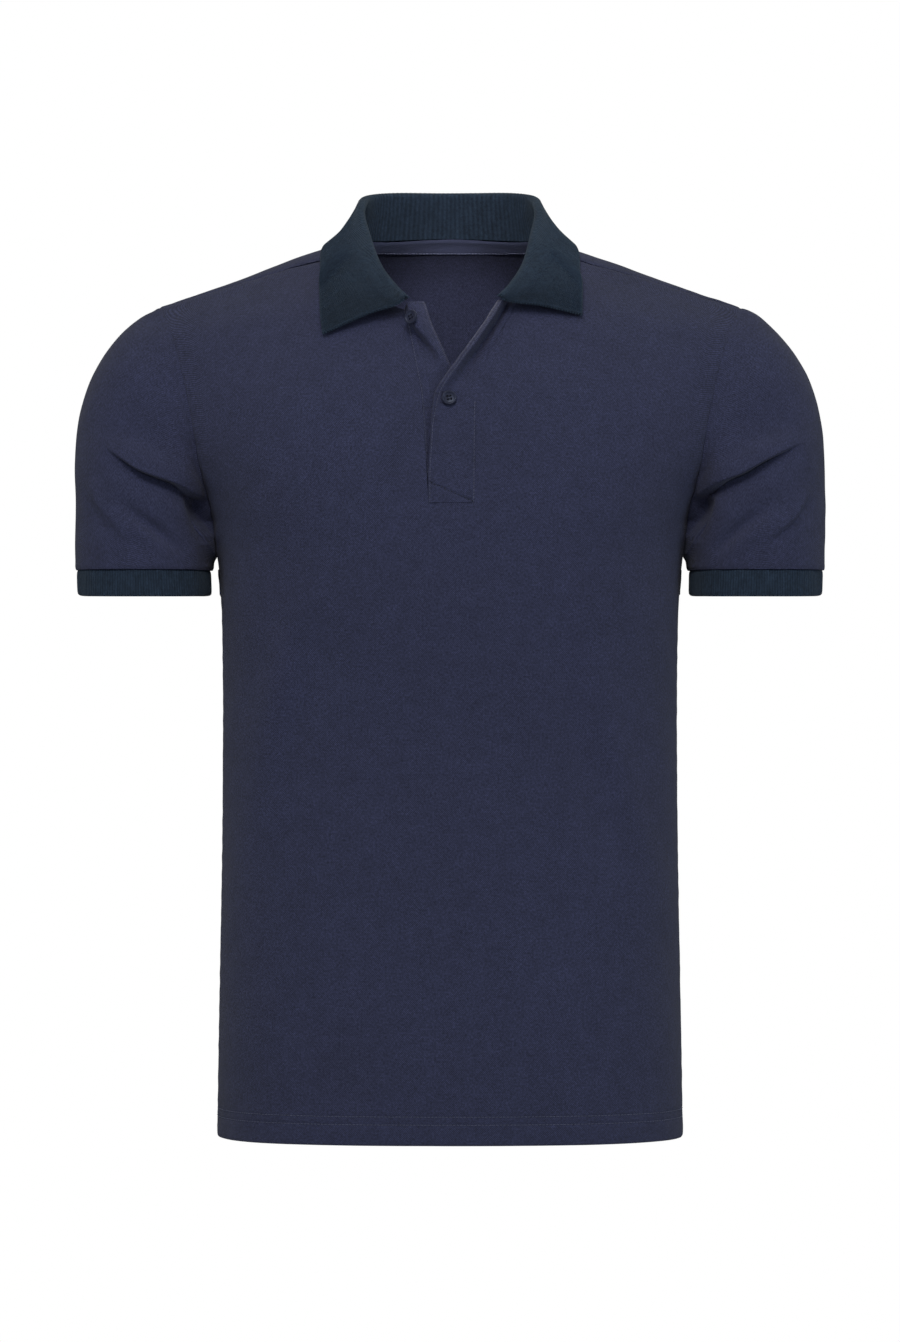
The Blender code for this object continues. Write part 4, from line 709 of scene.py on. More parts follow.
# The pucker's seed is the same for all seams, so that two pieces pucker alike where they meet.
PUCKER, PUCKER_REACH, PUCKER_LENGTH, PUCKER_SEED = 0.00030, 0.0070, 0.0120, 7


def seam_relief(points, distance):
    """The dip and the puckers of a seam at that distance, the same on both of its sides."""
    puckers = ripple(points, PUCKER_LENGTH, PUCKER_SEED) * fade_from(distance, PUCKER_REACH)
    return PUCKER * puckers - SEAM_DIP * bump_at(distance, SEAM_DIP_WIDTH)


# The lower armhole's seam is pushed out of the groove between the sleeve and the body.
FILL_Z = (-0.262, -0.247, -0.234, -0.222, -0.206, -0.190, -0.150, -0.120)
FILL = (0.0, 0.0190, 0.0190, 0.0020, 0.0010, 0.0030, 0.0030, 0.0)
FILL_REACH = 0.0200


def armhole_fill(points, distance):
    """How far a point near the lower armhole is pushed to the front or to the back."""
    return np.interp(points[..., 2], FILL_Z, FILL) * bump_at(distance, FILL_REACH)


def pushed_back(points, depth):
    """The points, moved by depth along +Y."""
    return points + np.array([0.0, 1.0, 0.0]) * depth[..., None]


# ---- making cloth ------------------------------------------------------
def grid_normals(points, wrap):
    """Unit normals of a grid of points. wrap joins the last column to the first."""
    down = np.gradient(points, axis=0)
    if wrap:
        around = (np.roll(points, -1, axis=1) - np.roll(points, 1, axis=1)) / 2
    else:
        around = np.gradient(points, axis=1)
    return unit(np.cross(around, down))


def cloth_map(points, wrap):
    """Each point's place on the cloth, in metres, measured along its row and its column."""
    around = np.linalg.norm(np.diff(points, axis=1), axis=2)
    across = np.concatenate([np.zeros((len(points), 1)), np.cumsum(around, axis=1)], axis=1)
    if not wrap:
        across = across - across.mean(axis=1, keepdims=True)
    up = np.linalg.norm(np.diff(points, axis=0), axis=2)
    along = np.concatenate([np.zeros((1, points.shape[1])), np.cumsum(up, axis=0)])
    return np.stack([across, along], axis=-1)


def shell(name, points, facing, thickness, material, skip=None, wrap=False, uv=None, ribbed=False):
    """A closed sheet of cloth. points is the grid of its outer face and facing its rough outward
    normals. thickness is one value or one for each point, and skip[i, j] leaves out a cell. Both
    faces of a ribbed cloth have the ribs."""
    rows, columns = points.shape[:2]
    normals = grid_normals(points, wrap)
    outward = np.sign((normals * facing).sum())
    normals = facing if ribbed else normals * outward
    inner = points - normals * np.broadcast_to(thickness, (rows, columns))[..., None]
    uv = cloth_map(points, wrap) if uv is None else uv

    index = np.arange(rows * columns).reshape(rows, columns)
    after = np.roll(index, -1, axis=1) if wrap else index
    first, last = (slice(None), slice(None)) if wrap else (slice(0, -1), slice(1, None))
    cells = np.stack(
        [index[:-1, first], after[:-1, last], after[1:, last], index[1:, first]], axis=-1
    )
    keep = np.ones(cells.shape[:2], bool) if skip is None else ~skip
    cells = cells[keep]
    if outward < 0:
        cells = cells[:, ::-1]
    edges = np.concatenate([cells[:, [k, (k + 1) % 4]] for k in range(4)])
    total = rows * columns
    there, back = edges[:, 0] * total + edges[:, 1], edges[:, 1] * total + edges[:, 0]
    edges = edges[~np.isin(there, back)]
    rim = np.stack([edges[:, 1], edges[:, 0], edges[:, 0] + total, edges[:, 1] + total], axis=1)
    faces = np.concatenate([cells, cells[:, ::-1] + total, rim])
    places = np.concatenate([points.reshape(-1, 3), inner.reshape(-1, 3)])
    flat = np.concatenate([uv.reshape(-1, 2)] * 2)
    corners_uv = flat[faces]
    if wrap:
        girth = uv[:, -1:, 0] + np.linalg.norm(points[:, :1] - points[:, -1:], axis=2)
        girth = np.concatenate([np.broadcast_to(girth, (rows, columns)).ravel()] * 2)
        spread = np.ptp(corners_uv[..., 0], axis=1, keepdims=True)
        low = corners_uv[..., 0] < corners_uv[..., 0].mean(axis=1, keepdims=True)
        corners_uv[..., 0] += np.where((spread > 0.5 * girth.max()) & low, girth[faces], 0)

    used, faces = np.unique(faces, return_inverse=True)
    faces = faces.reshape(-1, 4)
    mesh = bpy.data.meshes.new(name)
    mesh.from_pydata(places[used].tolist(), [], faces.tolist())
    layer = mesh.uv_layers.new(name="cloth")
    layer.uv.foreach_set("vector", corners_uv.reshape(-1).astype(np.float32))
    mesh.shade_smooth()
    mesh.set_sharp_from_angle(angle=SHARP_EDGE)
    mesh.materials.append(material)
    return add_object(name, mesh)


SHARP_EDGE = math.radians(60)
FINE_STEPS, FIRST_STEP, STEP_GROWTH = 5, 0.0022, 1.7


def add_object(name, data):
    """A new object of the scene with that data."""
    made = bpy.data.objects.new(name, data)
    bpy.context.scene.collection.objects.link(made)
    return made


def finer_towards_end(count, fine=FINE_STEPS, first=FIRST_STEP):
    """count + 1 shares from 0 to 1, the last few of them close together near 1."""
    tail = 1 - first * STEP_GROWTH ** np.arange(fine) + first
    even = np.linspace(0, tail[-1], count - fine + 2)
    return np.concatenate([even[:-1], tail[::-1]])


def finer_towards_ends(count, fine, first):
    """Shares from 0 to 1, the first and the last few of them close together."""
    half = finer_towards_end(count // 2, fine, first)
    return np.concatenate([(1 - half[::-1]) / 2, 0.5 + half[1:] / 2])


def distance_along(points, axis, end):
    """Each point's distance from the grid's first (0) or last (-1) line, measured along axis."""
    steps = np.linalg.norm(np.diff(points, axis=axis), axis=-1)
    if end == -1:
        steps = np.flip(steps, axis)
    total = np.cumsum(steps, axis=axis)
    total = np.concatenate([np.zeros_like(np.take(total, [0], axis)), total], axis=axis)
    return np.flip(total, axis) if end == -1 else total


def distances_along(points, axis):
    """Each point's distances from the grid's first line and from its last, along axis."""
    return distance_along(points, axis, 0), distance_along(points, axis, -1)


# ---- the panels' grids -------------------------------------------------
NECK_CORNER = math.radians(81.5)
TOP_SLIT_CORNER = math.radians(36.5)
UNDER_SLIT_CORNER = -math.radians(18.7)
OUTER_COLUMNS, INNER_COLUMNS, SLIT_COLUMNS, NECK_COLUMNS = 46, 12, 12, 72
RISE_ROWS, YOKE_ROWS = 78, 14
INNER_FINE, YOKE_FINE = (4, 0.012), (4, 0.02)
PLAIN_ROWS, BELOW_SLIT_ROWS = 122, 14
# Rows near the hem's edge, and beside each line of its stitches.
HEM_EDGE_ROWS = (0.0, 0.0008, 0.002, 0.004, 0.008, 0.012)
STITCH_ROWS = (-0.0014, -0.0006, 0.0, 0.0006, 0.0014)
HEM_STEP, FIRST_PLAIN = 0.0012, 0.003
# Where the shoulder seam meets the neck, as a share of the way from the centre to the armhole.
NECK_SHARE = 0.42
YOKE_CORNER = math.radians(112.0)
YOKE_WIDTH, YOKE_FALL = 0.032, 0.055
SEAM_FORWARD_AT_TIP, TIP_BEFORE_RIDGE = 0.004, 0.05
HEM_STITCHES = (0.0165, 0.0228)


def coons(bottom, top, left, right, i, j):
    """A grid of (u, t) pairs filled in between its four edges, at the shares i and j."""
    i, j = i[:, None, None], j[None, :, None]
    corners = (
        (1 - i) * (1 - j) * bottom[0] + (1 - i) * j * bottom[-1]
        + i * (1 - j) * top[0] + i * j * top[-1]
    )
    return (
        (1 - i) * bottom[None] + i * top[None] + (1 - j) * left[:, None] + j * right[:, None]
        - corners
    )


def pairs(u, t):
    """(u, t) pairs, of two arrays or of an array and a number."""
    return np.stack(np.broadcast_arrays(np.asarray(u, float), np.asarray(t, float)), axis=-1)


def between(start, end, shares):
    """Points from start to end at those shares."""
    shares = np.asarray(shares).reshape((-1,) + (1,) * np.ndim(start))
    return np.asarray(start) + (np.asarray(end) - np.asarray(start)) * shares


def tip_at():
    """The t of the armhole's point where the shoulder seam ends, forward of the ridge."""
    rows = np.linspace(AT_RIDGE - TIP_BEFORE_RIDGE, AT_RIDGE, SAMPLES)
    return np.interp(-SEAM_FORWARD_AT_TIP, body(1.0, rows)[:, 1], rows)


def shoulder_seam(shares):
    """(u, t) along the +X shoulder seam, from the neck to the tip."""
    neck_x, neck_y = neck_plan(NECK_CORNER)
    tip = body(1.0, tip_at())
    x, y = neck_x + (tip[0] - neck_x) * shares, neck_y + (tip[1] - neck_y) * shares
    seam = pairs(*find_on_shoulders(x, y))
    seam[-1] = (1.0, tip_at())
    return seam


def slit_edge(rows, corner, shares):
    """(u, t) up the slit's edge, from its bottom to the neckline."""
    top = pairs(*neck_at(corner))
    table = np.array(rows)
    z = between(SLIT_BOTTOM_Z, body(*top)[2], shares)
    x = curve(table[:, 0], table[:, SEAM_X_COLUMN], z)
    edge = pairs(*find_on_front(x, z))
    edge[-1] = top
    return edge


def mirrored(grid):
    """The same (u, t) grid on the other side, columns still running from -X to +X."""
    return grid[:, ::-1] * np.array([-1.0, 1.0])


def lower_heights():
    """Heights from the hem to the armpit, closer together at the hem and its stitches."""
    near = list(HEM_EDGE_ROWS)
    near += [stitch + step for stitch in HEM_STITCHES for step in STITCH_ROWS]
    near += [HEM_DEPTH + HEM_STEP]
    heights = [height - BODY_LENGTH_FROM_ORIGIN for height in near]
    return heights + list(np.linspace(heights[-1] + FIRST_PLAIN, ARMPIT_ROW_Z, PLAIN_ROWS))


def front_grid():
    """(u, t) of the front panel's points, and where its slit is open."""
    rows = np.linspace(0, AT_RIDGE, FINE_SAMPLES)
    slit_t = np.interp(SLIT_BOTTOM_Z, body(0.0, rows)[:, 2], rows)
    up, out = finer_towards_end(RISE_ROWS), finer_towards_end(OUTER_COLUMNS)
    inward = 1 - finer_towards_end(INNER_COLUMNS, *INNER_FINE)[::-1]
    top_edge = slit_edge(TOP_PLACKET_ROWS, TOP_SLIT_CORNER, up)
    under_edge = slit_edge(UNDER_PLACKET_ROWS, UNDER_SLIT_CORNER, up)
    top_edge[0, 1] = under_edge[0, 1] = slit_t
    neck = pairs(*neck_at(NECK_CORNER))
    column = between((NECK_SHARE, slit_t), neck, up)
    armhole = pairs(1.0, between(slit_t, tip_at(), up))
    outer = coons(
        pairs(between(NECK_SHARE, 1, out), slit_t), shoulder_seam(out), column, armhole, up, out
    )
    inner = {}
    slit_sides = ((1, TOP_SLIT_CORNER, top_edge), (-1, -UNDER_SLIT_CORNER, under_edge))
    for side, corner, edge in slit_sides:
        edge = edge * np.array([side, 1.0])
        inner[side] = coons(
            pairs(between(edge[0, 0], NECK_SHARE, inward), slit_t),
            pairs(*neck_at(between(corner, NECK_CORNER, inward))), edge, column, up, inward,
        )
    left_part = np.concatenate([mirrored(outer), mirrored(inner[-1])[:, 1:]], axis=1)
    right_part = np.concatenate([inner[1], outer[:, 1:]], axis=1)
    slit = np.linspace(left_part[:, -1], right_part[:, 0], SLIT_COLUMNS + 1, axis=1)[:, 1:-1]
    upper = np.concatenate([left_part, slit, right_part], axis=1)
    heights = np.interp(lower_heights(), body(0.0, rows)[:, 2], rows)
    below_slit = np.linspace(AT_FRONT_ARMPIT, slit_t, BELOW_SLIT_ROWS)[1:-1]
    lower = [pairs(upper[0, :, 0], t) for t in list(heights) + list(below_slit)]
    return np.concatenate([np.array(lower), upper]), len(lower), left_part.shape[1] - 1


def back_grid():
    """(u, t) of the back panel's points, from the hem up."""
    out = finer_towards_end(OUTER_COLUMNS)
    turns = np.linspace(-NECK_CORNER, NECK_CORNER - 2 * math.pi, NECK_COLUMNS + 1)
    seam = shoulder_seam(out)[None]
    neckline = pairs(*neck_at(turns))
    top = np.concatenate([mirrored(seam)[0], neckline[1:-1], seam[0]])

    outer = between(NECK_SHARE, 1, out)
    middle = np.linspace(-NECK_SHARE, NECK_SHARE, NECK_COLUMNS + 1)
    armpits = pairs(np.concatenate([-outer[::-1], middle[1:-1], outer]), AT_BACK_ARMPIT)

    yoke_turns = np.linspace(-YOKE_CORNER, YOKE_CORNER - 2 * math.pi, NECK_COLUMNS + 1)
    around = pairs(*neck_at(yoke_turns, YOKE_WIDTH))
    beside = between(around[-1], (1.0, tip_at() + YOKE_FALL), out)[None]
    yoke = np.concatenate([mirrored(beside)[0], around[1:-1], beside[0]])

    rows = np.linspace(AT_BACK_ARMPIT, BACK_AT["hem"], FINE_SAMPLES)[::-1]
    heights = np.interp(lower_heights()[:-1], body(0.0, rows)[:, 2], rows)
    lower = [pairs(armpits[:, 0], t) for t in heights]
    upper = np.linspace(armpits, yoke, RISE_ROWS + 1)
    above = between(yoke, top, finer_towards_end(YOKE_ROWS, *YOKE_FINE))
    return np.concatenate([np.array(lower), upper, above[1:]])


# ---- the panels --------------------------------------------------------
# Ripples are (height, length) pairs.
BODY_RIPPLES = ((0.0007, 0.110), (0.00018, 0.030))
HEM_ROUND, HEM_ROUND_REACH = 0.0009, 0.0008
STITCH_DIP, STITCH_DIP_WIDTH = 0.0003, 0.0010
HEM_PUCKER, HEM_PUCKER_LENGTH, HEM_PUCKER_REACH = 0.00022, 0.012, 0.008
SIDE_FADE = 0.020
FAR = 1.0


def hem_relief(points, seed):
    """The hem's rounded edge, its stitched dips and the puckers along them."""
    height = points[..., 2] + BODY_LENGTH_FROM_ORIGIN
    relief = -HEM_ROUND * fade_from(height, HEM_ROUND_REACH)
    for stitch in HEM_STITCHES:
        away = np.abs(height - stitch)
        puckers = ripple(points, HEM_PUCKER_LENGTH, seed) * fade_from(away, HEM_PUCKER_REACH)
        relief += HEM_PUCKER * puckers - STITCH_DIP * bump_at(away, STITCH_DIP_WIDTH)
    return relief


def panel_points(grid, piece):
    """The panel's outer face with its folds, seams and hem, and its rough normals. Its outer
    columns end in the shoulder seam, and the others at the neck."""
    seed = SEEDS[f"{piece}_panel"]
    u, t = grid[..., 0], grid[..., 1]
    points, facing = body(u, t), body_normals(u, t)
    columns = np.arange(grid.shape[1])
    at_shoulder = (columns < OUTER_COLUMNS) | (columns >= grid.shape[1] - OUTER_COLUMNS)
    side = np.minimum(*distances_along(points, 1))
    top = np.where(at_shoulder, distance_along(points, 0, -1), FAR)
    inside = 1 - bump_at(side, SIDE_FADE)
    height, sideways = fold_moves(piece, points)
    relief = (height + ripples(points, BODY_RIPPLES, seed)) * inside
    relief += seam_relief(points, np.minimum(side, top)) + hem_relief(points, seed + 2)
    deep = armhole_fill(points, side) * (1 if piece == "back" else -1)
    points = points + facing * relief[..., None] + sideways * inside[..., None]
    return pushed_back(points, deep), facing


def panel_thickness(points):
    """The cloth's thickness, which is more in the turned-up hem."""
    above_hem = points[..., 2] + BODY_LENGTH_FROM_ORIGIN - HEM_DEPTH
    share = np.clip(0.5 - above_hem / HEM_STEP, 0, 1)
    return CLOTH + (HEM_CLOTH - CLOTH) * share


def make_front(material):
    """The front panel, open at the placket's slit, and its outer face."""
    grid, slit_row, slit_column = front_grid()
    points, facing = panel_points(grid, "front")
    cell_row, cell_column = np.indices((grid.shape[0] - 1, grid.shape[1] - 1))
    in_slit = (cell_column >= slit_column) & (cell_column < slit_column + SLIT_COLUMNS)
    skip = (cell_row >= slit_row) & in_slit
    shell("front_panel", points, facing, panel_thickness(points), material, skip)
    return points, facing


def make_back(material, front_points):
    """The back panel, which meets the front one at the side seams, and its outer face."""
    points, facing = panel_points(back_grid(), "back")
    side = slice(0, len(lower_heights()))
    for column in (0, -1):
        points[side, column] = front_points[side, column]
    shell("back_panel", points, facing, panel_thickness(points), material)
    return points, facing


SLEEVE_TURNS, SLEEVE_ROWS = 316, 138
MORE_AT_CREASES, MORE_AT_FRONT = 0.055, 0.42
SLEEVE_FINE = (5, 0.0040)
SLEEVE_RIPPLES = ((0.0007, 0.070), (0.00018, 0.025))
ARMHOLE_FADE, SLEEVE_HEM_FADE = 0.0035, 0.012
FACING_SHARPNESS = 1.6


def make_sleeve(label, side, material):
    """The sleeve on the side +X (1) or -X (-1), with its own folds on the front and the back."""
    name = f"sleeve_{label}_cloth"
    rows = finer_towards_ends(SLEEVE_ROWS, *SLEEVE_FINE)
    rows = rows + MORE_AT_CREASES * np.sin(2 * math.pi * rows)
    turns = np.linspace(0, 2 * math.pi, SLEEVE_TURNS, endpoint=False)
    turn, s = np.meshgrid(turns - MORE_AT_FRONT * (1 - np.cos(turns)), rows)
    flip = np.array([side, 1, 1])
    points, facing = sleeve(turn, s) * flip, sleeve_normals(turn, s) * flip
    start, end = distances_along(points, 0)
    inside = (1 - bump_at(start, ARMHOLE_FADE)) * (1 - bump_at(end, SLEEVE_HEM_FADE))
    relief = ripples(points, SLEEVE_RIPPLES, SEEDS[name])
    sideways = np.zeros(points.shape)
    for half, way in (("front", -1), ("back", 1)):
        share = np.clip(way * facing[..., 1] * FACING_SHARPNESS, 0, 1)
        height, shift = fold_moves(f"sleeve {half} {label}", points)
        relief += share * height
        sideways += share[..., None] * shift
    relief = relief * inside + seam_relief(points, end)
    points = points + facing * relief[..., None] + sideways * inside[..., None]
    at_seam = body_normals(BESIDE_ARMHOLE, armhole_at(turn)) * flip
    deep = armhole_fill(points, start) * np.sign(at_seam[..., 1])
    points = pushed_back(points + at_seam * seam_relief(points, start)[..., None], deep)
    shell(name, points, facing, CLOTH, material, wrap=True)


# ---- cuffs -------------------------------------------------------------
CUFF_TOP = ("cuff top", 0.2976, -0.2607, 0.1912, -0.2607, -0.0582, 0.0582, 2.9)
CUFF_BOTTOM = ("cuff bottom", 0.2970, -0.2819, 0.1908, -0.2819, -0.0588, 0.0588, 3.0)
CUFF_SIDE_RISE, CUFF_SIDE_POWER, CUFF_BACK_RISE = 0.0015, 16, 0.0017
CUFF_ROWS, CUFF_FINE = 14, (4, 0.03)
CUFF_RIBS, CUFF_RIB_HEIGHT, CUFF_RIB_FADE = 182, 0.00012, 0.0015
CUFF_RIPPLES = ((0.0004, 0.050),)
CUFF_EDGE, CUFF_SEAM_REACH, CUFF_END_REACH = 0.0008, 0.0008, 0.0007
COLUMNS_PER_RIB = 4
RIB_PITCH = 0.00176


def cuff(turn, s):
    """Points on the outer face of the +X cuff. s runs from its seam (0) to its open end (1)."""
    turn, s = np.broadcast_arrays(np.asarray(turn, float), np.asarray(s, float))
    top, bottom = ring_points(CUFF_TOP, turn), ring_points(CUFF_BOTTOM, turn)
    points = top + (bottom - top) * s[..., None]
    points[..., 2] += s**2 * CUFF_SIDE_RISE * np.cos(turn) ** CUFF_SIDE_POWER
    points[..., 2] += s**2 * CUFF_BACK_RISE * (1 - np.sin(turn)) / 2
    return points


def even_turns(count):
    """Angles at even steps of length round the cuff."""
    fine = np.linspace(0, 2 * math.pi, 2 * FINE_SAMPLES)
    steps = np.linalg.norm(np.diff(cuff(fine, 0.5), axis=0), axis=1)
    length = np.concatenate([[0.0], np.cumsum(steps)])
    return np.interp(np.linspace(0, length[-1], count, endpoint=False), length, fine)


def make_cuff(label, side, material):
    """The cuff on the side +X (1) or -X (-1), with its ribs and its rounded edges."""
    name = f"cuff_{label}_rib"
    turns = even_turns(CUFF_RIBS * COLUMNS_PER_RIB)
    turn, s = np.meshgrid(turns, finer_towards_ends(CUFF_ROWS, *CUFF_FINE))
    points, facing = cuff(turn, s), -normals_of(cuff, turn, s, STEP_ACROSS, STEP_ACROSS)
    start, end = distances_along(points, 0)
    inside = np.clip(np.minimum(start, end) / CUFF_RIB_FADE, 0, 1)
    ribs = np.cos(2 * math.pi / COLUMNS_PER_RIB * np.arange(turns.size))
    relief = CUFF_RIB_HEIGHT * ribs * inside + ripples(points, CUFF_RIPPLES, SEEDS[name])
    relief -= CUFF_EDGE * (fade_from(start, CUFF_SEAM_REACH) + fade_from(end, CUFF_END_REACH))
    flip = np.array([side, 1, 1])
    points = (points + facing * relief[..., None]) * flip
    uv = pairs(np.arange(turns.size) * RIB_PITCH / COLUMNS_PER_RIB, start)
    shell(name, points, facing * flip, RIB, material, wrap=True, uv=uv)


# ---- the collar --------------------------------------------------------
COLLAR_RIBS, COLLAR_RIB_HEIGHT, LEAF_RIB_HEIGHT = 244, 0.00006, 0.00019
COLLAR_RIB_FADE, LEAF_START = 0.0018, 0.1
COLLAR_LENGTH, COLLAR_DEPTH = 0.429, 0.105
COLLAR_STAND_ROWS, COLLAR_ROLL_ROWS, COLLAR_LEAF_ROWS, LEAF_FINE = 8, 8, 13, (4, 0.012)
COLLAR_RIPPLES = ((0.0004, 0.040),)
COLLAR_EDGE, COLLAR_EDGE_REACH = 0.0006, 0.0009
FIRST_RIB = 0.0006
EVEN_SHARE = 1 / 3
END_LOOP_OUT, END_LOOP_INSIDE = 0.0009, 5


def make_collar(material):
    """The collar, with its ribs, its thin end edges and a finished leaf edge. It gives the lines
    of its two ends, and the normals there."""
    along = np.linspace(0, 1, COLLAR_RIBS * COLUMNS_PER_RIB + 1)
    along = np.concatenate([[0.0, FIRST_RIB], along[1:-1], [1 - FIRST_RIB, 1.0]])
    roll_end = STAND_SHARE + ROLL_SHARE
    leaf = roll_end + (1 - roll_end) * finer_towards_end(COLLAR_LEAF_ROWS, *LEAF_FINE)
    across = np.concatenate([
        np.linspace(0, STAND_SHARE, COLLAR_STAND_ROWS + 1)[:-1],
        np.linspace(STAND_SHARE, roll_end, COLLAR_ROLL_ROWS + 1)[:-1], leaf,
    ])
    a, b = np.meshgrid(along, across)
    middle, normals = collar(a, b), collar_normals(a, b)
    points = middle + normals * RIB / 2
    end, edge = np.minimum(*distances_along(points, 1)), distance_along(points, 0, -1)
    inside = np.clip(np.minimum(end, edge) / COLLAR_RIB_FADE, 0, 1)
    on_leaf = np.clip((b - roll_end) / LEAF_START, 0, 1)
    rib_height = COLLAR_RIB_HEIGHT + (LEAF_RIB_HEIGHT - COLLAR_RIB_HEIGHT) * on_leaf
    relief = rib_height * np.cos(2 * math.pi * a * COLLAR_RIBS) * inside
    uneven = ripples(points, COLLAR_RIPPLES, SEEDS["rib_collar"])
    relief += uneven * np.clip((b - EVEN_SHARE) / EVEN_SHARE, 0, 1)
    for distance in (end, edge):
        relief -= COLLAR_EDGE * fade_from(distance, COLLAR_EDGE_REACH)
    points = points + normals * relief[..., None]
    uv = np.stack([a * COLLAR_LENGTH, b * COLLAR_DEPTH], axis=-1)
    shell("rib_collar", points, normals, RIB, material, uv=uv, ribbed=True)
    ends = []
    for column, inner in ((0, END_LOOP_INSIDE), (-1, -1 - END_LOOP_INSIDE)):
        outward = unit(points[:, column] - points[:, inner])
        ends.append((points[:, column] + END_LOOP_OUT * outward, normals[:, column]))
    return ends


# ---- the plackets ------------------------------------------------------
SEAM_STITCH, UNDER_SEAM_STITCH = 0.0010, 0.0009
# How far the stitches lie from the placket's free edge, at the heights z: z, distance
EDGE_STITCH_ROWS = [
    (-0.2110, 0.0014), (-0.1500, 0.0016), (-0.1320, 0.0032), (-0.1180, 0.0046), (-0.0450, 0.0048),
]
HOLLOW_SHARE, HOLLOW_DEPTH, HOLLOW_AT, HOLLOW_WIDTH, HOLLOW_FADE = 0.60, 0.0085, 0.43, 0.20, 0.012
SEAM_SHOWS_BELOW, SEAM_SHOWS_OVER = -0.120, 0.02
PLACKET_ROWS, PLACKET_COLUMNS, PLACKET_FINE = 150, 64, (4, 0.02)
PLACKET_RIPPLES = ((0.00025, 0.014),)
SEAM_EDGE, SHOWN_SEAM_EDGE = 0.0001, 0.0004
FREE_EDGE, FREE_EDGE_REACH, OTHER_EDGE_REACH = 0.0006, 0.0006, 0.0009
STITCH_GROOVE, STITCH_GROOVE_WIDTH = 0.0004, 0.0008
EDGE_WELT, EDGE_WELT_WIDTH, EDGE_WELTS = 0.0007, 0.0012, (0.0014, 0.0052)
TACK_GROOVE, TACK_GROOVE_WIDTH = 0.0010, 0.0006
# Painted highlight bands along the free edge, where the standing edge catches the light: how pale,
# how far from the edge they end, and over what width.
PAINTED_HIGHLIGHT_BANDS = ((0.75, 0.0027, 0.0008), (0.25, 0.0064, 0.0010))
# The painted highlight starts at this height and grows to full over this distance above it.
PAINTED_HIGHLIGHT_ABOVE, PAINTED_HIGHLIGHT_OVER = -0.125, 0.07
DIAGONAL = ((-0.0156, -0.1935), (0.0184, -0.2088))


def edge_stitch(points):
    """How far the stitches lie from a placket's free edge at each point's height."""
    heights, distances = np.transpose(EDGE_STITCH_ROWS)
    return np.interp(points[..., 2], heights, distances)


def distance_from_line(points, start, end):
    """Each point's distance, in the front view, from the straight line between two (x, z)."""
    start, step = np.array(start), np.subtract(end, start)
    offset = points[..., [0, 2]] - start
    along = np.clip(offset @ step / (step @ step), 0, 1)
    return np.linalg.norm(offset - along[..., None] * step, axis=-1)


def placket_hollow(rows, points, s, hollow_below):
    """How far the strip is pushed back behind its ridge, where the ridge stands out."""
    table = np.array(rows)
    stands_out = np.interp(points[..., 2], table[:, 0], table[:, RIDGE_OUT_COLUMN].clip(0))
    hollow = np.minimum(HOLLOW_SHARE * stands_out, HOLLOW_DEPTH)
    hollow *= np.clip((hollow_below - points[..., 2]) / HOLLOW_FADE, 0, 1)
    return hollow * bump_at(s - HOLLOW_AT, HOLLOW_WIDTH)


def make_placket(name, rows, material, welt_and_painted_highlight, hollow_below, lines=()):
    """A placket strip, with a padded free edge under a painted highlight, a hollow behind its ridge
    and a groove along each line of stitches. It gives the strip's outer face and the distances from
    its seam and edge."""
    across = finer_towards_ends(PLACKET_COLUMNS, *PLACKET_FINE)
    r, s = np.meshgrid(np.linspace(0, 1, PLACKET_ROWS), across, indexing="ij")
    points, normals = placket(rows, r, s), placket_normals(rows, r, s)
    normals = normals * -np.sign(normals[..., 1].sum())
    seam, free = distances_along(points, 1)
    top = distance_along(points, 0, -1)
    shown = np.clip((SEAM_SHOWS_BELOW - points[..., 2]) / SEAM_SHOWS_OVER, 0, 1)
    relief = ripples(points, PLACKET_RIPPLES, SEEDS[name])
    relief -= (SEAM_EDGE + SHOWN_SEAM_EDGE * shown) * fade_from(seam, OTHER_EDGE_REACH)
    relief -= FREE_EDGE * (fade_from(free, FREE_EDGE_REACH) + fade_from(top, OTHER_EDGE_REACH))
    relief -= STITCH_GROOVE * bump_at(free - edge_stitch(points), STITCH_GROOVE_WIDTH)
    for welt in EDGE_WELTS:
        relief += EDGE_WELT * bump_at(free - welt, EDGE_WELT_WIDTH) * welt_and_painted_highlight
    for line in lines:
        relief -= TACK_GROOVE * bump_at(distance_from_line(points, *line), TACK_GROOVE_WIDTH)
    hollow = placket_hollow(rows, points, s, hollow_below)
    points = pushed_back(points + normals * relief[..., None], hollow)
    strip = shell(name, points, normals, PLACKET_CLOTH, material)
    # Painted highlight: the bands by the free edge are made paler, most where the edge stands out
    # near the top, and kept as the pale attribute.
    pale = sum(share * np.clip((end - free) / over, 0, 1) for share, end, over in PAINTED_HIGHLIGHT_BANDS)
    pale *= np.clip((points[..., 2] - PAINTED_HIGHLIGHT_ABOVE) / PAINTED_HIGHLIGHT_OVER, 0, 1) * welt_and_painted_highlight
    layer = strip.data.attributes.new("pale", "FLOAT", "POINT")
    layer.data.foreach_set("value", np.tile(pale.ravel(), 2).astype(np.float32))
    return points, normals, seam, free


FACING_ROUNDS = 10


def placket_facing(rows, x, z):
    """The outward normal of a placket strip at x and z."""
    low, high = rows[0][0], rows[-1][0]
    shares = np.linspace(0, 1, SAMPLES)
    r = (z - low) / (high - low)
    for _ in range(FACING_ROUNDS):
        line = placket(rows, np.full(SAMPLES, r), shares)
        order = np.argsort(line[:, 0])
        s = np.interp(x, line[order, 0], shares[order])
        r += (z - np.interp(s, shares, line[:, 2])) / (high - low)
    normal = placket_normals(rows, np.array([r]), np.array([s]))[0]
    return normal * -np.sign(normal[1])


# ---- the neck tape -----------------------------------------------------
TAPE_ROWS, TAPE_COLUMNS = 17, 150
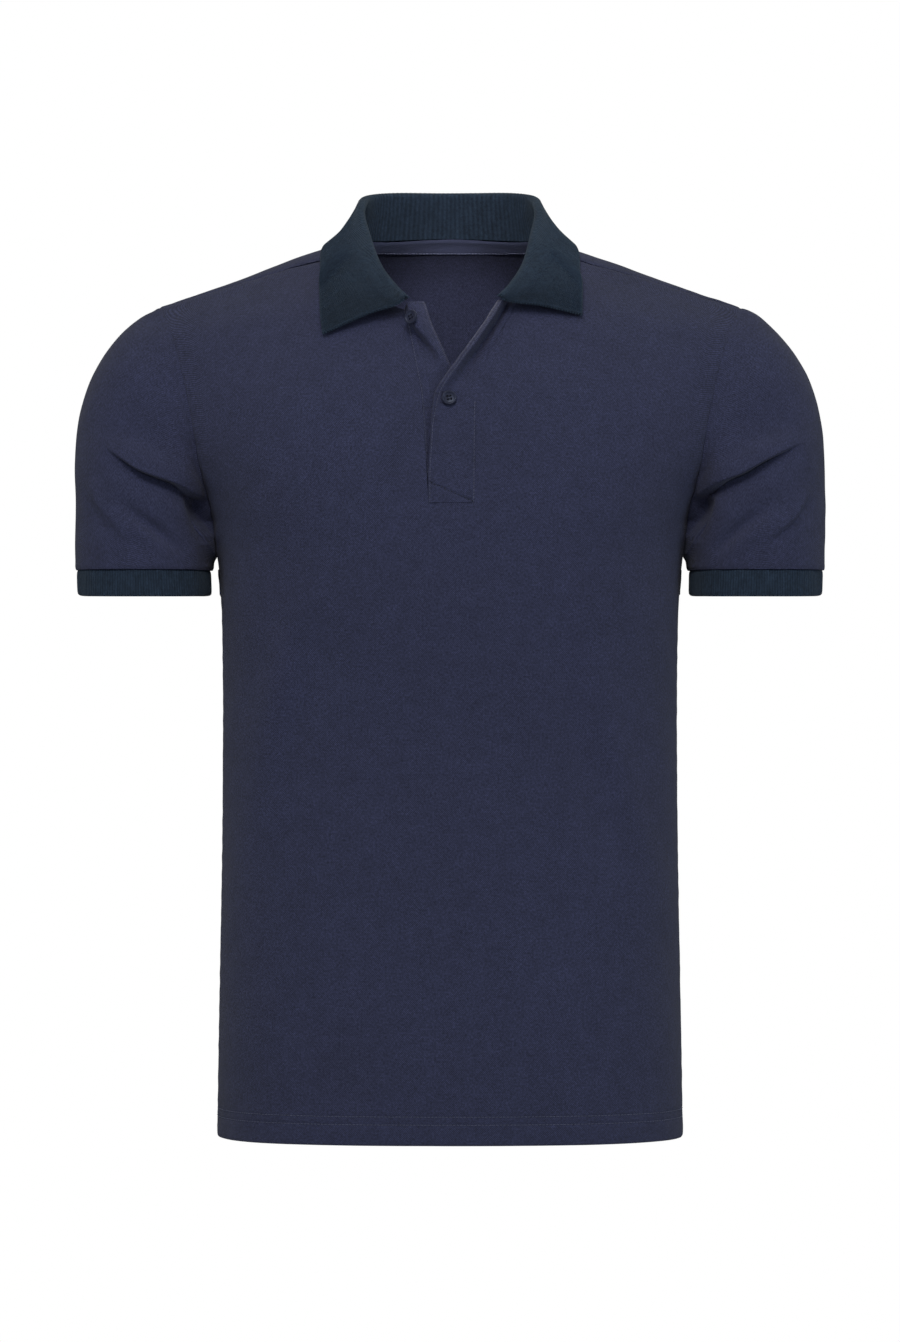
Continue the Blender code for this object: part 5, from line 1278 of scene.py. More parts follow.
# How far outside the neckline the tape's two long edges lie, seen from above.
TAPE_FROM, TAPE_TO = -0.0045, 0.0109
TAPE_TURN = math.radians(114.3)
TAPE_RIPPLES = ((0.00015, 0.010),)
UPPER_PRESS, LOWER_PRESS, PRESSED_SHARE, UPPER_THINNING = 0.0009, 0.0005, 0.12, 0.85


def make_tape(material):
    """The tape on the inside of the back neck, pressed down and thinned at its edges. It gives
    the line of its stitches, and the normals there."""
    turns = np.linspace(-TAPE_TURN, TAPE_TURN - 2 * math.pi, TAPE_COLUMNS)
    grow, turn = np.meshgrid(np.linspace(TAPE_FROM, TAPE_TO, TAPE_ROWS), turns, indexing="ij")
    u, t = neck_at(turn, grow)
    facing = -body_normals(u, t)
    points = body(u, t) + facing * (CLOTH + TAPE_CLOTH + 2 * SEAM_GAP)
    share = (grow - grow.min()) / np.ptp(grow)
    upper, lower = bump_at(share, PRESSED_SHARE), bump_at(share - 1, PRESSED_SHARE)
    relief = ripples(points, TAPE_RIPPLES, SEEDS["back_neck_tape"])
    relief -= UPPER_PRESS * upper + LOWER_PRESS * lower
    points = points + facing * relief[..., None]
    shell("back_neck_tape", points, facing, TAPE_CLOTH * (1 - UPPER_THINNING * upper), material)
    return points[-2], facing[-2]


# ---- stitches ----------------------------------------------------------
STITCH_PITCH, STITCH_LENGTH = 0.0028, 0.0022
THREAD_RADIUS, THREAD_SIDES = 0.00030, 6
# Along a stitch from -1 to 1, and its radius there as a share of the thread's.
STITCH_SECTIONS = ((-1.0, 0.40), (-0.75, 0.90), (0.0, 1.0), (0.75, 0.90), (1.0, 0.40))
STITCH_RISE, STITCH_ARCH, STITCH_SLANT = 0.00006, 0.00016, 0.07
NEAREST, LINE_POINTS = 4, 40


def make_tubes(name, rings, material):
    """One mesh of closed tubes. rings[i, j, k] is point k round section j of tube i."""
    tubes, sections, sides, _ = rings.shape
    index = np.arange(tubes * sections * sides).reshape(tubes, sections, sides)
    after = np.roll(index, -1, axis=2)
    walls = np.stack([index[:, 1:], after[:, 1:], after[:, :-1], index[:, :-1]], axis=-1)
    faces = walls.reshape(-1, 4).tolist() + index[:, 0].tolist() + index[:, -1, ::-1].tolist()
    mesh = bpy.data.meshes.new(name)
    mesh.from_pydata(rings.reshape(-1, 3).tolist(), [], faces)
    mesh.shade_smooth()
    mesh.materials.append(material)
    return add_object(name, mesh)


def even_points(line, facing, pitch):
    """Points at even steps along a line, with its direction and the facing there."""
    steps = np.linalg.norm(np.diff(line, axis=0), axis=1)
    length = np.concatenate([[0.0], np.cumsum(steps)])
    count = max(int(length[-1] / pitch), 2)
    at = (np.arange(count) + 0.5) * length[-1] / count

    def read_off(values, places):
        return np.stack([np.interp(places, length, values[:, k]) for k in range(3)], axis=1)

    direction = unit(read_off(line, at + pitch / 4) - read_off(line, at - pitch / 4))
    return read_off(line, at), direction, unit(read_off(facing, at))


def make_stitches(name, lines, material, length=STITCH_LENGTH, radius=THREAD_RADIUS,
                  pitch=STITCH_PITCH):
    """One mesh of small raised stitches along the lines, each a pair of points and normals."""
    dice = np.random.default_rng(SEEDS[name])
    places, directions, normals = map(
        np.concatenate, zip(*(even_points(line, facing, pitch) for line, facing in lines))
    )
    beside = unit(np.cross(normals, directions))
    slant = dice.normal(0, STITCH_SLANT, (len(places), 1))
    directions = unit(directions + beside * slant)
    beside = unit(np.cross(normals, directions))
    turns = (2 * math.pi * np.arange(THREAD_SIDES) / THREAD_SIDES)[:, None]
    swing = np.cos(turns) * beside[:, None] + np.sin(turns) * normals[:, None]
    rings = []
    for along, share in STITCH_SECTIONS:
        middle = places + directions * (along * length / 2)
        middle = middle + normals * (STITCH_RISE + STITCH_ARCH * (1 - along**2))
        rings.append(middle[:, None] + radius * share * swing)
    return make_tubes(name, np.stack(rings, axis=1), material)


def line_at(points, normals, distance, value):
    """The line where the distance measured along each row has that value, or its row's value."""
    rows = np.arange(len(points))
    order = slice(None) if distance[0, 0] < distance[0, -1] else slice(None, None, -1)
    columns = np.arange(points.shape[1])[order]
    values = np.broadcast_to(value, rows.shape)
    at = np.array([np.interp(values[k], distance[k, order], columns) for k in rows])
    low = np.minimum(at.astype(int), points.shape[1] - 2)
    share = (at - low)[:, None]
    line = points[rows, low] * (1 - share) + points[rows, low + 1] * share
    facing = normals[rows, low] * (1 - share) + normals[rows, low + 1] * share
    return line, unit(facing)


def line_on_front(points, normals, path):
    """The line on a front-facing grid that lies on the straight path between two (x, z)."""
    goal = np.linspace(path[0], path[1], LINE_POINTS)
    flat, facing = points.reshape(-1, 3), normals.reshape(-1, 3)
    away = np.linalg.norm(flat[None, :, [0, 2]] - goal[:, None], axis=2)
    near = np.argsort(away, axis=1)[:, :NEAREST]
    weight = 1 / (np.take_along_axis(away, near, axis=1) + 1e-6)
    weight = (weight / weight.sum(axis=1, keepdims=True))[..., None]
    line = (flat[near] * weight).sum(axis=1)
    line[:, [0, 2]] = goal
    return line, unit((facing[near] * weight).sum(axis=1))


def hem_lines(points, facing):
    """The two rows of hem stitches of a panel, a little inside its side seams."""
    rows = np.array(lower_heights()) + BODY_LENGTH_FROM_ORIGIN
    picked = [int(np.argmin(np.abs(rows - stitch))) for stitch in HEM_STITCHES]
    return [(points[row, 1:-1], facing[row, 1:-1]) for row in picked]


# ---- buttons -----------------------------------------------------------
BUTTON_PROFILE = [  # radius share, height share
    (0.0, 0.0), (0.80, 0.0), (0.90, 0.06), (0.97, 0.22), (1.0, 0.45), (0.99, 0.66),
    (0.96, 0.84), (0.91, 0.96), (0.85, 1.0), (0.79, 0.97), (0.73, 0.87), (0.67, 0.76),
    (0.61, 0.71), (0.0, 0.69),
]
BUTTON_SIDES, BUTTON_SHARP_EDGE = 72, math.radians(40)
# The dish's height over the button's middle, as a share of its thickness.
BUTTON_FACE = BUTTON_PROFILE[-1][1] - 0.5
HOLE_RADIUS, HOLE_OFFSET, HOLE_SIDES, CUTTER_DEPTH = 0.00095, 0.00178, 20, 0.01
BAR_RADIUS, BAR_OFFSET = 0.0001116, 0.000099
BAR_RISE, BAR_FALL, BAR_FALL_POWER = 0.00045, 0.0006, 6
BAR_SECTIONS, BAR_SIDES = 9, 8


def button_holes():
    """The (x, y) middles of a button's four holes, going round."""
    turns = [math.pi / 4 + k * math.pi / 2 for k in range(4)]
    return [(HOLE_OFFSET * math.cos(turn), HOLE_OFFSET * math.sin(turn)) for turn in turns]


def turned_button(name):
    """A dished button without holes, made by turning its profile round."""
    made = bmesh.new()
    spine = [
        made.verts.new((radius * BUTTON_RADIUS, 0.0, (height - 0.5) * BUTTON_THICKNESS))
        for radius, height in BUTTON_PROFILE
    ]
    outline = [made.edges.new(pair) for pair in zip(spine[:-1], spine[1:])]
    bmesh.ops.spin(
        made, geom=spine + outline, cent=(0, 0, 0), axis=(0, 0, 1), angle=2 * math.pi,
        steps=BUTTON_SIDES, use_merge=True,
    )
    bmesh.ops.remove_doubles(made, verts=made.verts, dist=1e-6)
    bmesh.ops.recalc_face_normals(made, faces=made.faces)
    mesh = bpy.data.meshes.new(name)
    made.to_mesh(mesh)
    made.free()
    return add_object(name, mesh)


def drill(button):
    """Cuts the four holes through the button."""
    cutters = []
    for x, y in button_holes():
        bpy.ops.mesh.primitive_cylinder_add(
            vertices=HOLE_SIDES, radius=HOLE_RADIUS, depth=CUTTER_DEPTH, location=(x, y, 0.0)
        )
        cutters.append(bpy.context.object)
        cut = button.modifiers.new("hole", "BOOLEAN")
        cut.operation, cut.solver, cut.object = "DIFFERENCE", "EXACT", cutters[-1]
    graph = bpy.context.evaluated_depsgraph_get()
    holed = bpy.data.meshes.new_from_object(button.evaluated_get(graph))
    button.modifiers.clear()
    button.data = holed
    for cutter in cutters:
        bpy.data.objects.remove(cutter)


def make_button(name, node, facing, lean, material, thread):
    """A dished button with four holes and its thread, in the place of the CAD's button."""
    low, high = (np.array(corner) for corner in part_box(node))
    centre = (low + high) / 2
    across = unit(np.cross([0.0, 0.0, 1.0], facing))
    across = across * math.cos(lean) + np.cross(facing, across) * math.sin(lean)
    place = np.stack([across, np.cross(facing, across), facing], axis=1)

    button = turned_button(name)
    drill(button)
    mesh = button.data
    for vertex in mesh.vertices:
        vertex.co = place @ np.array(vertex.co) + centre
    mesh.shade_smooth()
    mesh.set_sharp_from_angle(angle=BUTTON_SHARP_EDGE)
    mesh.materials.clear()
    mesh.materials.append(material)

    holes = [(*hole, BUTTON_FACE * BUTTON_THICKNESS) for hole in button_holes()]
    bars = [
        np.array([holes[first], holes[second]]) @ place.T + centre
        for first, second in ((0, 1), (3, 2))
    ]
    # The dark thread also stands for the shade in the holes.
    make_button_thread(f"{name}_thread", bars, facing, thread)


def make_button_thread(name, bars, up, material):
    """Pairs of threads that rise out of one hole, cross the button and go down the next."""
    share = np.linspace(0, 1, BAR_SECTIONS)[:, None, None]
    rise = BAR_RISE * np.sin(math.pi * share)
    rise = rise - BAR_FALL * np.abs(2 * share - 1) ** BAR_FALL_POWER
    turns = (2 * math.pi * np.arange(BAR_SIDES) / BAR_SIDES)[:, None]
    tubes = []
    for start, end in bars:
        beside = unit(np.cross(up, end - start))
        swing = np.cos(turns) * beside + np.sin(turns) * up
        for offset in (-BAR_OFFSET, BAR_OFFSET):
            middle = start + (end - start) * share + up * rise + beside * offset
            tubes.append(middle + swing * BAR_RADIUS)
    make_tubes(name, np.array(tubes), material)


# ---- materials ---------------------------------------------------------
PIQUE_COLOUR = (0.0178, 0.0202, 0.0460)
# A painted highlight, mixed into the pique where the pale attribute is set, for the plackets' lit
# standing edges.
PAINTED_HIGHLIGHT_COLOUR = (0.0600, 0.0600, 0.0900)
RIB_COLOUR = (0.0095, 0.0161, 0.0280)
# The tape's own navy, painted several times lighter than the cloth's to make up for the shade it
# lies in inside the back neck.
TAPE_COLOUR_WITH_PAINTED_LIGHT = (0.0700, 0.0780, 0.1500)
THREAD_COLOUR = (0.0470, 0.0510, 0.0860)
# Thread darker than the cloth: partly its own dark navy, partly painted shade for the buttons'
# holes and the tack's groove.
DARK_THREAD_AND_PAINTED_SHADE_COLOUR = (0.0080, 0.0090, 0.0190)
TAPE_THREAD_COLOUR = (0.1300, 0.1400, 0.2200)
BUTTON_COLOUR = (0.0128, 0.0140, 0.0265)
BUTTON_GLOSS, BUTTON_GLOSS_COLOUR = 0.16, (0.66, 0.76, 1.0, 1.0)
CLOTH_GLOSS = 0.12
# Lengths in metres over which the weaves repeat.
PIQUE_CELL, RIB_COURSE, TWILL_LINE = (0.00160, 0.00140), 0.0011, 0.0015
PIQUE_WOBBLE, PIQUE_WOBBLE_LENGTH = 0.0005, 0.004
STREAK_STRETCH = (1.0, 0.15, 1.0)
TWIST_SCALE, TWIST_DISTORTION = 900.0, 2.0
# Noises that make a colour uneven: size in metres, detail, strength
PIQUE_NOISES = ((0.0024, 2.0, 0.36), (0.012, 2.0, 0.20), (0.070, 2.0, 0.10))
RIB_NOISES = ((0.0026, 2.0, 0.55), (0.010, 2.0, 0.16))
THREAD_NOISES = ((0.006, 2.0, 0.25),)
BUTTON_NOISES = ((0.0045, 3.0, 0.35),)
FLOOR_NOISES = ((0.5, 2.0, 0.01),)
# Fine fibres and streaks: size in metres, detail
PIQUE_FIBRES, RIB_FIBRES, TAPE_FIBRES = (0.0016, 3.0), (0.0009, 3.0), (0.0008, 3.0)
RIB_STREAKS, BUTTON_MARKS = (0.0024, 1.0), (0.0006, 2.0)


def add_node(tree, kind, inputs=(), **settings):
    """A node with its settings, and its inputs given as a value or as the socket to link."""
    made = tree.nodes.new(kind)
    for key, value in settings.items():
        setattr(made, key, value)
    for key, value in dict(inputs).items():
        if isinstance(value, bpy.types.NodeSocket):
            tree.links.new(value, made.inputs[key])
        else:
            made.inputs[key].default_value = value
    return made


def combine(tree, operation, *values):
    """The values, each a number or a socket, joined one after another by a math operation."""
    def join(first, second):
        inputs = {0: first, 1: second}
        return add_node(tree, "ShaderNodeMath", inputs, operation=operation).outputs[0]

    return reduce(join, values)


def vector_node(tree, operation, inputs):
    """The result of a vector math operation."""
    return add_node(tree, "ShaderNodeVectorMath", inputs, operation=operation).outputs["Vector"]


def wave(tree, *angles):
    """From 0 to 1: the product of the angles' cosines, each angle a socket in radians."""
    cosines = [
        add_node(tree, "ShaderNodeMath", {0: angle}, operation="COSINE").outputs[0]
        for angle in angles
    ]
    return half_up(tree, combine(tree, "MULTIPLY", *cosines))


def half_up(tree, value):
    """A value from -1 to 1, brought to 0 to 1."""
    return combine(tree, "ADD", combine(tree, "MULTIPLY", value, 0.5), 0.5)


def noise(tree, place, size, detail):
    """Noise from about 0 to 1 with features of that size in metres."""
    inputs = {"Vector": place, "Scale": 1 / size, "Detail": detail}
    return add_node(tree, "ShaderNodeTexNoise", inputs).outputs["Fac"]


def varied(tree, *rows):
    """A factor round 1: each row's value from 0 to 1 moves it up or down by the row's strength."""
    factors = [
        combine(tree, "ADD", combine(tree, "MULTIPLY", value, 2 * strength), 1 - strength)
        for value, strength in rows
    ]
    return combine(tree, "MULTIPLY", *factors)


def noises(tree, place, rows):
    """Rows for varied, from rows of a noise's size, detail and strength."""
    return [(noise(tree, place, size, detail), strength) for size, detail, strength in rows]


def mix_colour(tree, factor, first, second):
    """The first colour at factor 0, and the second at 1."""
    inputs = {"Factor": factor, 6: first, 7: second}
    return add_node(tree, "ShaderNodeMix", inputs, data_type="RGBA").outputs[2]


def start_material(name, roughness, sheen=0.0, sheen_tint=(1, 1, 1), sheen_roughness=0.5):
    """A material's tree, its shader, the cloth's coordinates in metres and the piece's own."""
    material = bpy.data.materials.new(name)
    material.use_nodes = True
    tree = material.node_tree
    shader = tree.nodes["Principled BSDF"]
    shader.inputs["Roughness"].default_value = roughness
    shader.inputs["Sheen Weight"].default_value = sheen
    shader.inputs["Sheen Roughness"].default_value = sheen_roughness
    shader.inputs["Sheen Tint"].default_value = (*sheen_tint, 1)
    shader.inputs["Specular IOR Level"].default_value = CLOTH_GLOSS
    cloth = add_node(tree, "ShaderNodeUVMap", uv_map="cloth").outputs["UV"]
    space = add_node(tree, "ShaderNodeTexCoord").outputs["Object"]
    return material, tree, shader, cloth, space


def tint(tree, colour, factor):
    """The colour times a factor that varies over the surface."""
    return vector_node(tree, "SCALE", {0: colour, "Scale": factor})


def add_bump(tree, shader, distance, strength, *rows):
    """Bumps of that height in metres, from the sum of the rows' values times their shares."""
    height = combine(tree, "ADD", *(combine(tree, "MULTIPLY", *row) for row in rows))
    inputs = {"Height": height, "Distance": distance, "Strength": strength}
    bump = add_node(tree, "ShaderNodeBump", inputs)
    tree.links.new(bump.outputs["Normal"], shader.inputs["Normal"])


def pique_material():
    """Pique knit: staggered raised cells, fuzzy fibres, slightly uneven dye and a painted highlight
    where the pale attribute is set.
    """
    material, tree, shader, cloth, space = start_material(
        "pique_navy", 0.95, sheen=0.035, sheen_tint=(1.0, 0.98, 0.90), sheen_roughness=0.7
    )
    inputs = {"Vector": cloth, "Scale": 1 / PIQUE_WOBBLE_LENGTH, "Detail": 1.0}
    wobble = add_node(tree, "ShaderNodeTexNoise", inputs).outputs["Color"]
    shift = vector_node(tree, "SUBTRACT", {0: wobble, 1: (0.5, 0.5, 0.5)})
    shift = vector_node(tree, "SCALE", {0: shift, "Scale": PIQUE_WOBBLE})
    place = vector_node(tree, "ADD", {0: cloth, 1: shift})
    turns = (*(2 * math.pi / length for length in PIQUE_CELL), 0)
    angle = vector_node(tree, "MULTIPLY", {0: place, 1: turns})
    parts = add_node(tree, "ShaderNodeSeparateXYZ", {0: angle}).outputs
    cells = wave(tree, parts["X"], parts["Y"])
    fibres = noise(tree, cloth, *PIQUE_FIBRES)
    factor = varied(tree, (cells, 0.60), (fibres, 0.85), *noises(tree, space, PIQUE_NOISES))
    # The pale attribute mixes in the painted highlight of the plackets' edges.
    pale = add_node(tree, "ShaderNodeAttribute", attribute_name="pale").outputs["Fac"]
    colours = [tint(tree, colour, factor) for colour in (PIQUE_COLOUR, PAINTED_HIGHLIGHT_COLOUR)]
    tree.links.new(mix_colour(tree, pale, *colours), shader.inputs["Base Color"])
    add_bump(tree, shader, 0.00030, 0.6, (cells, 1.0), (fibres, 0.7))
    return material


def rib_material():
    """Rib knit: ribs along the piece's depth, dark between them, with the knit's small steps."""
    material, tree, shader, cloth, space = start_material(
        "rib_navy", 0.95, sheen=0.05, sheen_tint=(0.75, 0.90, 1.0), sheen_roughness=0.5
    )
    parts = add_node(tree, "ShaderNodeSeparateXYZ", {0: cloth}).outputs
    turn = combine(tree, "MULTIPLY", parts["X"], 2 * math.pi / RIB_PITCH)
    step = combine(tree, "MULTIPLY", parts["Y"], 2 * math.pi / RIB_COURSE)
    ribs, courses = wave(tree, turn), wave(tree, combine(tree, "ADD", step, turn))
    fibres = noise(tree, space, *RIB_FIBRES)
    stretched = vector_node(tree, "MULTIPLY", {0: cloth, 1: STREAK_STRETCH})
    streaks = noise(tree, stretched, *RIB_STREAKS)
    factor = varied(
        tree, (ribs, 0.18), (streaks, 0.32), (courses, 0.10), (fibres, 0.60),
        *noises(tree, space, RIB_NOISES),
    )
    tree.links.new(tint(tree, RIB_COLOUR, factor), shader.inputs["Base Color"])
    add_bump(tree, shader, 0.00035, 0.6, (ribs, 1.0), (courses, 0.3), (fibres, 0.6))
    return material


def tape_material():
    """Twill tape: fine diagonal lines, on its navy painted lighter to lift the shade inside the
    back neck.
    """
    material, tree, shader, cloth, space = start_material(
        "tape_navy", 0.88, sheen=0.15, sheen_tint=(0.8, 0.86, 1.0)
    )
    parts = add_node(tree, "ShaderNodeSeparateXYZ", {0: cloth}).outputs
    slant = combine(tree, "ADD", parts["X"], parts["Y"])
    lines = wave(tree, combine(tree, "MULTIPLY", slant, 2 * math.pi / TWILL_LINE))
    fibres = noise(tree, space, *TAPE_FIBRES)
    factor = varied(tree, (lines, 0.22), (fibres, 0.30))
    tree.links.new(tint(tree, TAPE_COLOUR_WITH_PAINTED_LIGHT, factor), shader.inputs["Base Color"])
    add_bump(tree, shader, 0.00020, 0.6, (lines, 1.0), (fibres, 0.4))
    return material


def thread_material(name, colour):
    """Sewing thread with a slight lustre and a fine twist."""
    material, tree, shader, _, space = start_material(
        name, 0.62, sheen=0.10, sheen_tint=(0.85, 0.9, 1.0)
    )
    inputs = {"Vector": space, "Scale": TWIST_SCALE, "Distortion": TWIST_DISTORTION}
    twist = add_node(tree, "ShaderNodeTexWave", inputs, bands_direction="DIAGONAL").outputs["Fac"]
    factor = varied(tree, (twist, 0.15), *noises(tree, space, THREAD_NOISES))
    tree.links.new(tint(tree, colour, factor), shader.inputs["Base Color"])
    add_bump(tree, shader, 0.00006, 0.5, (twist, 1.0))
    return material


def button_material():
    """Polished resin with faint clouds and fine polishing marks."""
    material, tree, shader, _, space = start_material("button_resin", 0.2)
    marks = noise(tree, space, *BUTTON_MARKS)
    factor = varied(tree, *noises(tree, space, BUTTON_NOISES))
    tree.links.new(tint(tree, BUTTON_COLOUR, factor), shader.inputs["Base Color"])
    roughness = combine(tree, "ADD", combine(tree, "MULTIPLY", marks, 0.14), 0.28)
    tree.links.new(roughness, shader.inputs["Roughness"])
    shader.inputs["Specular IOR Level"].default_value = BUTTON_GLOSS
    shader.inputs["Specular Tint"].default_value = BUTTON_GLOSS_COLOUR
    add_bump(tree, shader, 0.00002, 0.4, (marks, 1.0))
    return material


def floor_material():
    """A plain pale floor, hardly uneven."""
    material, tree, shader, _, space = start_material("studio_floor", 0.8)
    factor = varied(tree, *noises(tree, space, FLOOR_NOISES))
    tree.links.new(tint(tree, FLOOR_COLOUR, factor), shader.inputs["Base Color"])
    return material


# ---- camera, floor and light -------------------------------------------
CAMERA_DISTANCE, CAMERA_Z, CAMERA_FAR = 4.5, -0.3408, 100.0
FRAME_HEIGHT = 1.0736
SENSOR = 36.0
FLOOR_Z, FLOOR_SIZE, FLOOR_COLOUR = -1.45, 8.0, (0.60, 0.60, 0.61)
# The colours of the soft light from all round, by where it comes from: position, colour
SKY = ((0.0, (0.31, 0.32, 0.36, 1)), (0.5, (0.37, 0.375, 0.46, 1)), (1.0, (0.48, 0.48, 0.32, 1)))
BACKGROUND = (1, 1, 1, 1)
# Each light stands at its place and points at its target. A softbox has a width and a height. A
# spot has a radius in metres and a cone in degrees. The columns:
# kind, name, place, target, size, power, colour
LIGHTS = [
    ("AREA", "front_softbox", (-0.15, -2.6, 2.0), (0.0, 0.0, -0.30), (1.4, 1.0), 74.0, (1, 1, 1)),
    ("AREA", "top_softbox", (-0.1, -0.8, 1.2), (0.0, 0.0, -0.10), (1.4, 0.7), 5.0,
     (1.0, 0.96, 0.78)),
    ("SPOT", "neck_light", (-0.05, -1.6, 0.50), (0.0, 0.08, -0.020), (0.06, 6.2), 110.0,
     (1, 1, 1)),
    ("AREA", "side_softbox", (-2.3, -1.4, 0.0), (0.0, 0.0, -0.35), (1.0, 1.6), 12.5,
     (0.70, 0.86, 1.0)),
    ("AREA", "side_softbox", (2.3, -1.4, 0.0), (0.0, 0.0, -0.35), (1.0, 1.6), 22.5,
     (0.70, 0.86, 1.0)),
]


def make_camera():
    """A level camera in front of the shirt."""
    data = bpy.data.cameras.new("camera")
    data.sensor_width = SENSOR
    data.lens = SENSOR * CAMERA_DISTANCE / FRAME_HEIGHT
    data.clip_end = CAMERA_FAR
    camera = add_object("camera", data)
    camera.location = (0.0, -CAMERA_DISTANCE, CAMERA_Z)
    camera.rotation_euler = (math.radians(90), 0.0, 0.0)
    bpy.context.scene.camera = camera


def make_floor():
    """The floor, well below the shirt."""
    bpy.ops.mesh.primitive_plane_add(size=FLOOR_SIZE, location=(0.0, 0.0, FLOOR_Z))
    floor = bpy.context.object
    floor.name = "studio_floor"
    floor.data.materials.append(floor_material())


def make_world():
    """Soft light from all round, from below (0) to above (1), on a plain white ground."""
    world = bpy.data.worlds.new("studio")
    world.use_nodes = True
    tree = world.node_tree
    way = add_node(tree, "ShaderNodeTexCoord").outputs["Generated"]
    height = add_node(tree, "ShaderNodeSeparateXYZ", {0: way}).outputs["Z"]
    ramp = add_node(tree, "ShaderNodeValToRGB", {"Fac": half_up(tree, height)})
    ramp.color_ramp.elements.new(SKY[1][0])
    for stop, (position, colour) in zip(ramp.color_ramp.elements, SKY):
        stop.position, stop.color = position, colour
    seen = add_node(tree, "ShaderNodeLightPath").outputs["Is Camera Ray"]
    colour = mix_colour(tree, seen, ramp.outputs["Color"], BACKGROUND)
    tree.links.new(colour, tree.nodes["Background"].inputs["Color"])
    bpy.context.scene.world = world


def make_light(kind, name, place, target, size, power, colour):
    """A softbox or a spot, a row of LIGHTS."""
    data = bpy.data.lights.new(name, kind)
    data.energy, data.color = power, colour
    if kind == "AREA":
        data.shape = "RECTANGLE"
        data.size, data.size_y = size
    else:
        radius, cone = size
        data.shadow_soft_size, data.spot_size, data.spot_blend = radius, math.radians(cone), 1.0
    light = add_object(name, data)
    light.location = place
    way = Vector(target) - Vector(place)
    light.rotation_euler = way.to_track_quat("-Z", "Y").to_euler()


# ---- the whole ---------------------------------------------------------
SIDES = (("left", 1), ("right", -1))
SECOND_BUTTON, SECOND_BUTTON_LEAN = (-0.0008, -0.1278), 0.2
TOP_BUTTON_FACING, TOP_BUTTON_LEAN = (-0.60, -0.78, 0.16), 0.5
SEAM_STITCHES_TOP, FINE_THREAD, TAPE_THREAD = -0.129, 0.00022, 0.00042
TACK_LENGTH, TACK_THREAD = 0.0016, 0.00040
LOOP_LENGTH, LOOP_THREAD, LOOP_PITCH = 0.0008, 0.00085, 0.0022
# The first value scales each strip's edge welts and its painted highlight; its hollow lies below
# the second height.
TOP_WELT_AND_PAINTED_HIGHLIGHT, TOP_HOLLOW_BELOW = 1.0, 0.0
UNDER_WELT_AND_PAINTED_HIGHLIGHT, UNDER_HOLLOW_BELOW = 0.25, -0.070
# Each piece's node in the CAD, which it replaces, and its slot: piece, node, slot
PIECES = [
    ("front_panel", "front", "pique"),
    ("back_panel", "back", "pique"),
    ("sleeve_left_cloth", "sleeve_left", "pique"),
    ("sleeve_right_cloth", "sleeve_right", "pique"),
    ("cuff_left_rib", "cuff_left", "rib"),
    ("cuff_right_rib", "cuff_right", "rib"),
    ("rib_collar", "collar", "rib"),
    ("top_placket", "placket_top", "pique"),
    ("under_placket", "placket_under", "pique"),
    ("back_neck_tape", "neck_tape", "tape"),
    ("placket_button", "button_second", "button"),
    ("collar_button", "button_top", "button"),
    ("front_hem_stitches", None, "pique"),
    ("back_hem_stitches", None, "pique"),
    ("top_placket_stitches", None, "pique"),
    ("top_placket_tack", None, "pique"),
    ("collar_end_loops", None, "rib"),
    ("under_placket_stitches", None, "pique"),
    ("neck_tape_stitches", None, "tape"),
    ("placket_button_thread", None, "button"),
    ("collar_button_thread", None, "button"),
]


def make_panels_and_sleeves(pique, rib, thread):
    """The two panels with their hems' stitches, the sleeves and the cuffs."""
    front, front_facing = make_front(pique)
    back, back_facing = make_back(pique, front)
    make_stitches("front_hem_stitches", hem_lines(front, front_facing), thread)
    make_stitches("back_hem_stitches", hem_lines(back, back_facing), thread)
    for label, side in SIDES:
        make_sleeve(label, side, pique)
        make_cuff(label, side, rib)


def make_neck(rib, tape, tape_thread):
    """The collar with the loops of its ends, and the tape with its stitches."""
    ends = make_collar(rib)
    make_stitches("collar_end_loops", ends, rib, LOOP_LENGTH, LOOP_THREAD, LOOP_PITCH)
    make_stitches("neck_tape_stitches", [make_tape(tape)], tape_thread, radius=TAPE_THREAD)


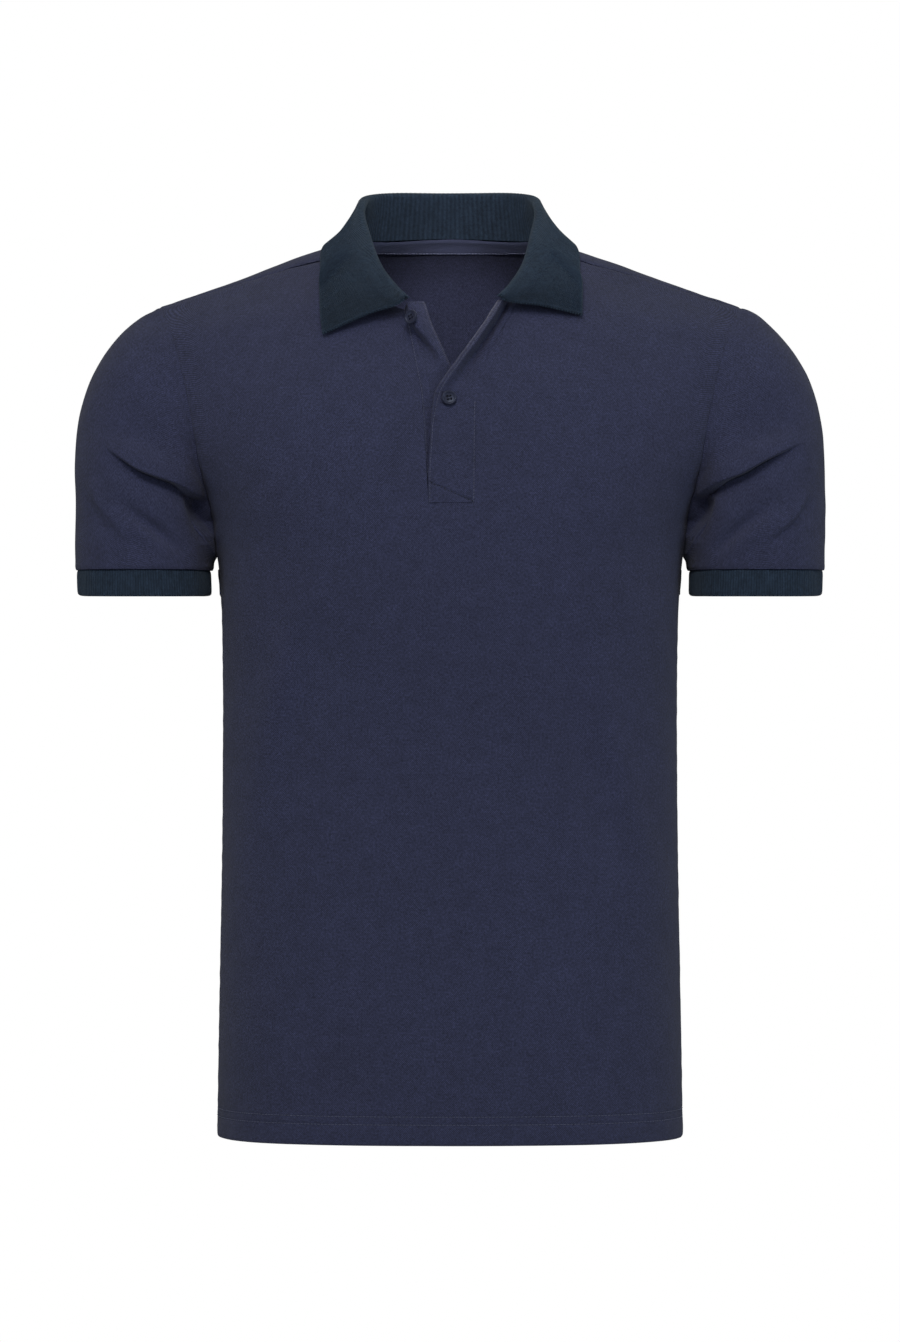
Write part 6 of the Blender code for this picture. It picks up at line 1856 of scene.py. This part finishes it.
def make_plackets(pique, thread, dark_thread_and_painted_shade):
    """The two plackets with their stitches."""
    points, normals, seam, free = make_placket(
        "top_placket", TOP_PLACKET_ROWS, pique, TOP_WELT_AND_PAINTED_HIGHLIGHT, TOP_HOLLOW_BELOW, [DIAGONAL]
    )
    edge_line = line_at(points, normals, free, edge_stitch(points[:, -1]))
    seam_line, seam_facing = line_at(points, normals, seam, SEAM_STITCH)
    shown = seam_line[:, 2] < SEAM_STITCHES_TOP
    lines = [edge_line, (seam_line[shown], seam_facing[shown])]
    make_stitches("top_placket_stitches", lines, thread, radius=FINE_THREAD)
    tack = [line_on_front(points, normals, DIAGONAL)]
    # The tack's dark thread also stands for the shade along its groove.
    make_stitches("top_placket_tack", tack, dark_thread_and_painted_shade, TACK_LENGTH, TACK_THREAD)

    points, normals, seam, _ = make_placket(
        "under_placket", UNDER_PLACKET_ROWS, pique, UNDER_WELT_AND_PAINTED_HIGHLIGHT, UNDER_HOLLOW_BELOW
    )
    lines = [line_at(points, normals, seam, UNDER_SEAM_STITCH)]
    make_stitches("under_placket_stitches", lines, thread, radius=FINE_THREAD)


def make_buttons(dark_thread_and_painted_shade):
    """The second button, fastened, and the top one on the open under placket."""
    resin = button_material()
    facing = placket_facing(TOP_PLACKET_ROWS, *SECOND_BUTTON)
    make_button("placket_button", "button_second", facing, SECOND_BUTTON_LEAN, resin, dark_thread_and_painted_shade)
    facing = unit(np.array(TOP_BUTTON_FACING))
    make_button("collar_button", "button_top", facing, TOP_BUTTON_LEAN, resin, dark_thread_and_painted_shade)


def main():
    """The studio and the shirt; each piece joins the root body and hides the CAD node it stands in
    for, if it has one.
    """
    bpy.context.scene.view_settings.view_transform = "Standard"
    make_camera()
    make_world()
    for row in LIGHTS:
        make_light(*row)

    pique, rib, tape = pique_material(), rib_material(), tape_material()
    thread = thread_material("thread_navy", THREAD_COLOUR)
    dark_thread_and_painted_shade = thread_material("thread_dark_painted_shade", DARK_THREAD_AND_PAINTED_SHADE_COLOUR)
    tape_thread = thread_material("thread_tape", TAPE_THREAD_COLOUR)
    make_panels_and_sleeves(pique, rib, thread)
    make_neck(rib, tape, tape_thread)
    make_plackets(pique, thread, dark_thread_and_painted_shade)
    make_buttons(dark_thread_and_painted_shade)
    make_floor()

    made = bpy.data.objects
    for name, node, slot in PIECES:
        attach(made[name], "root")
        if node:
            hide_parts(node)


main()
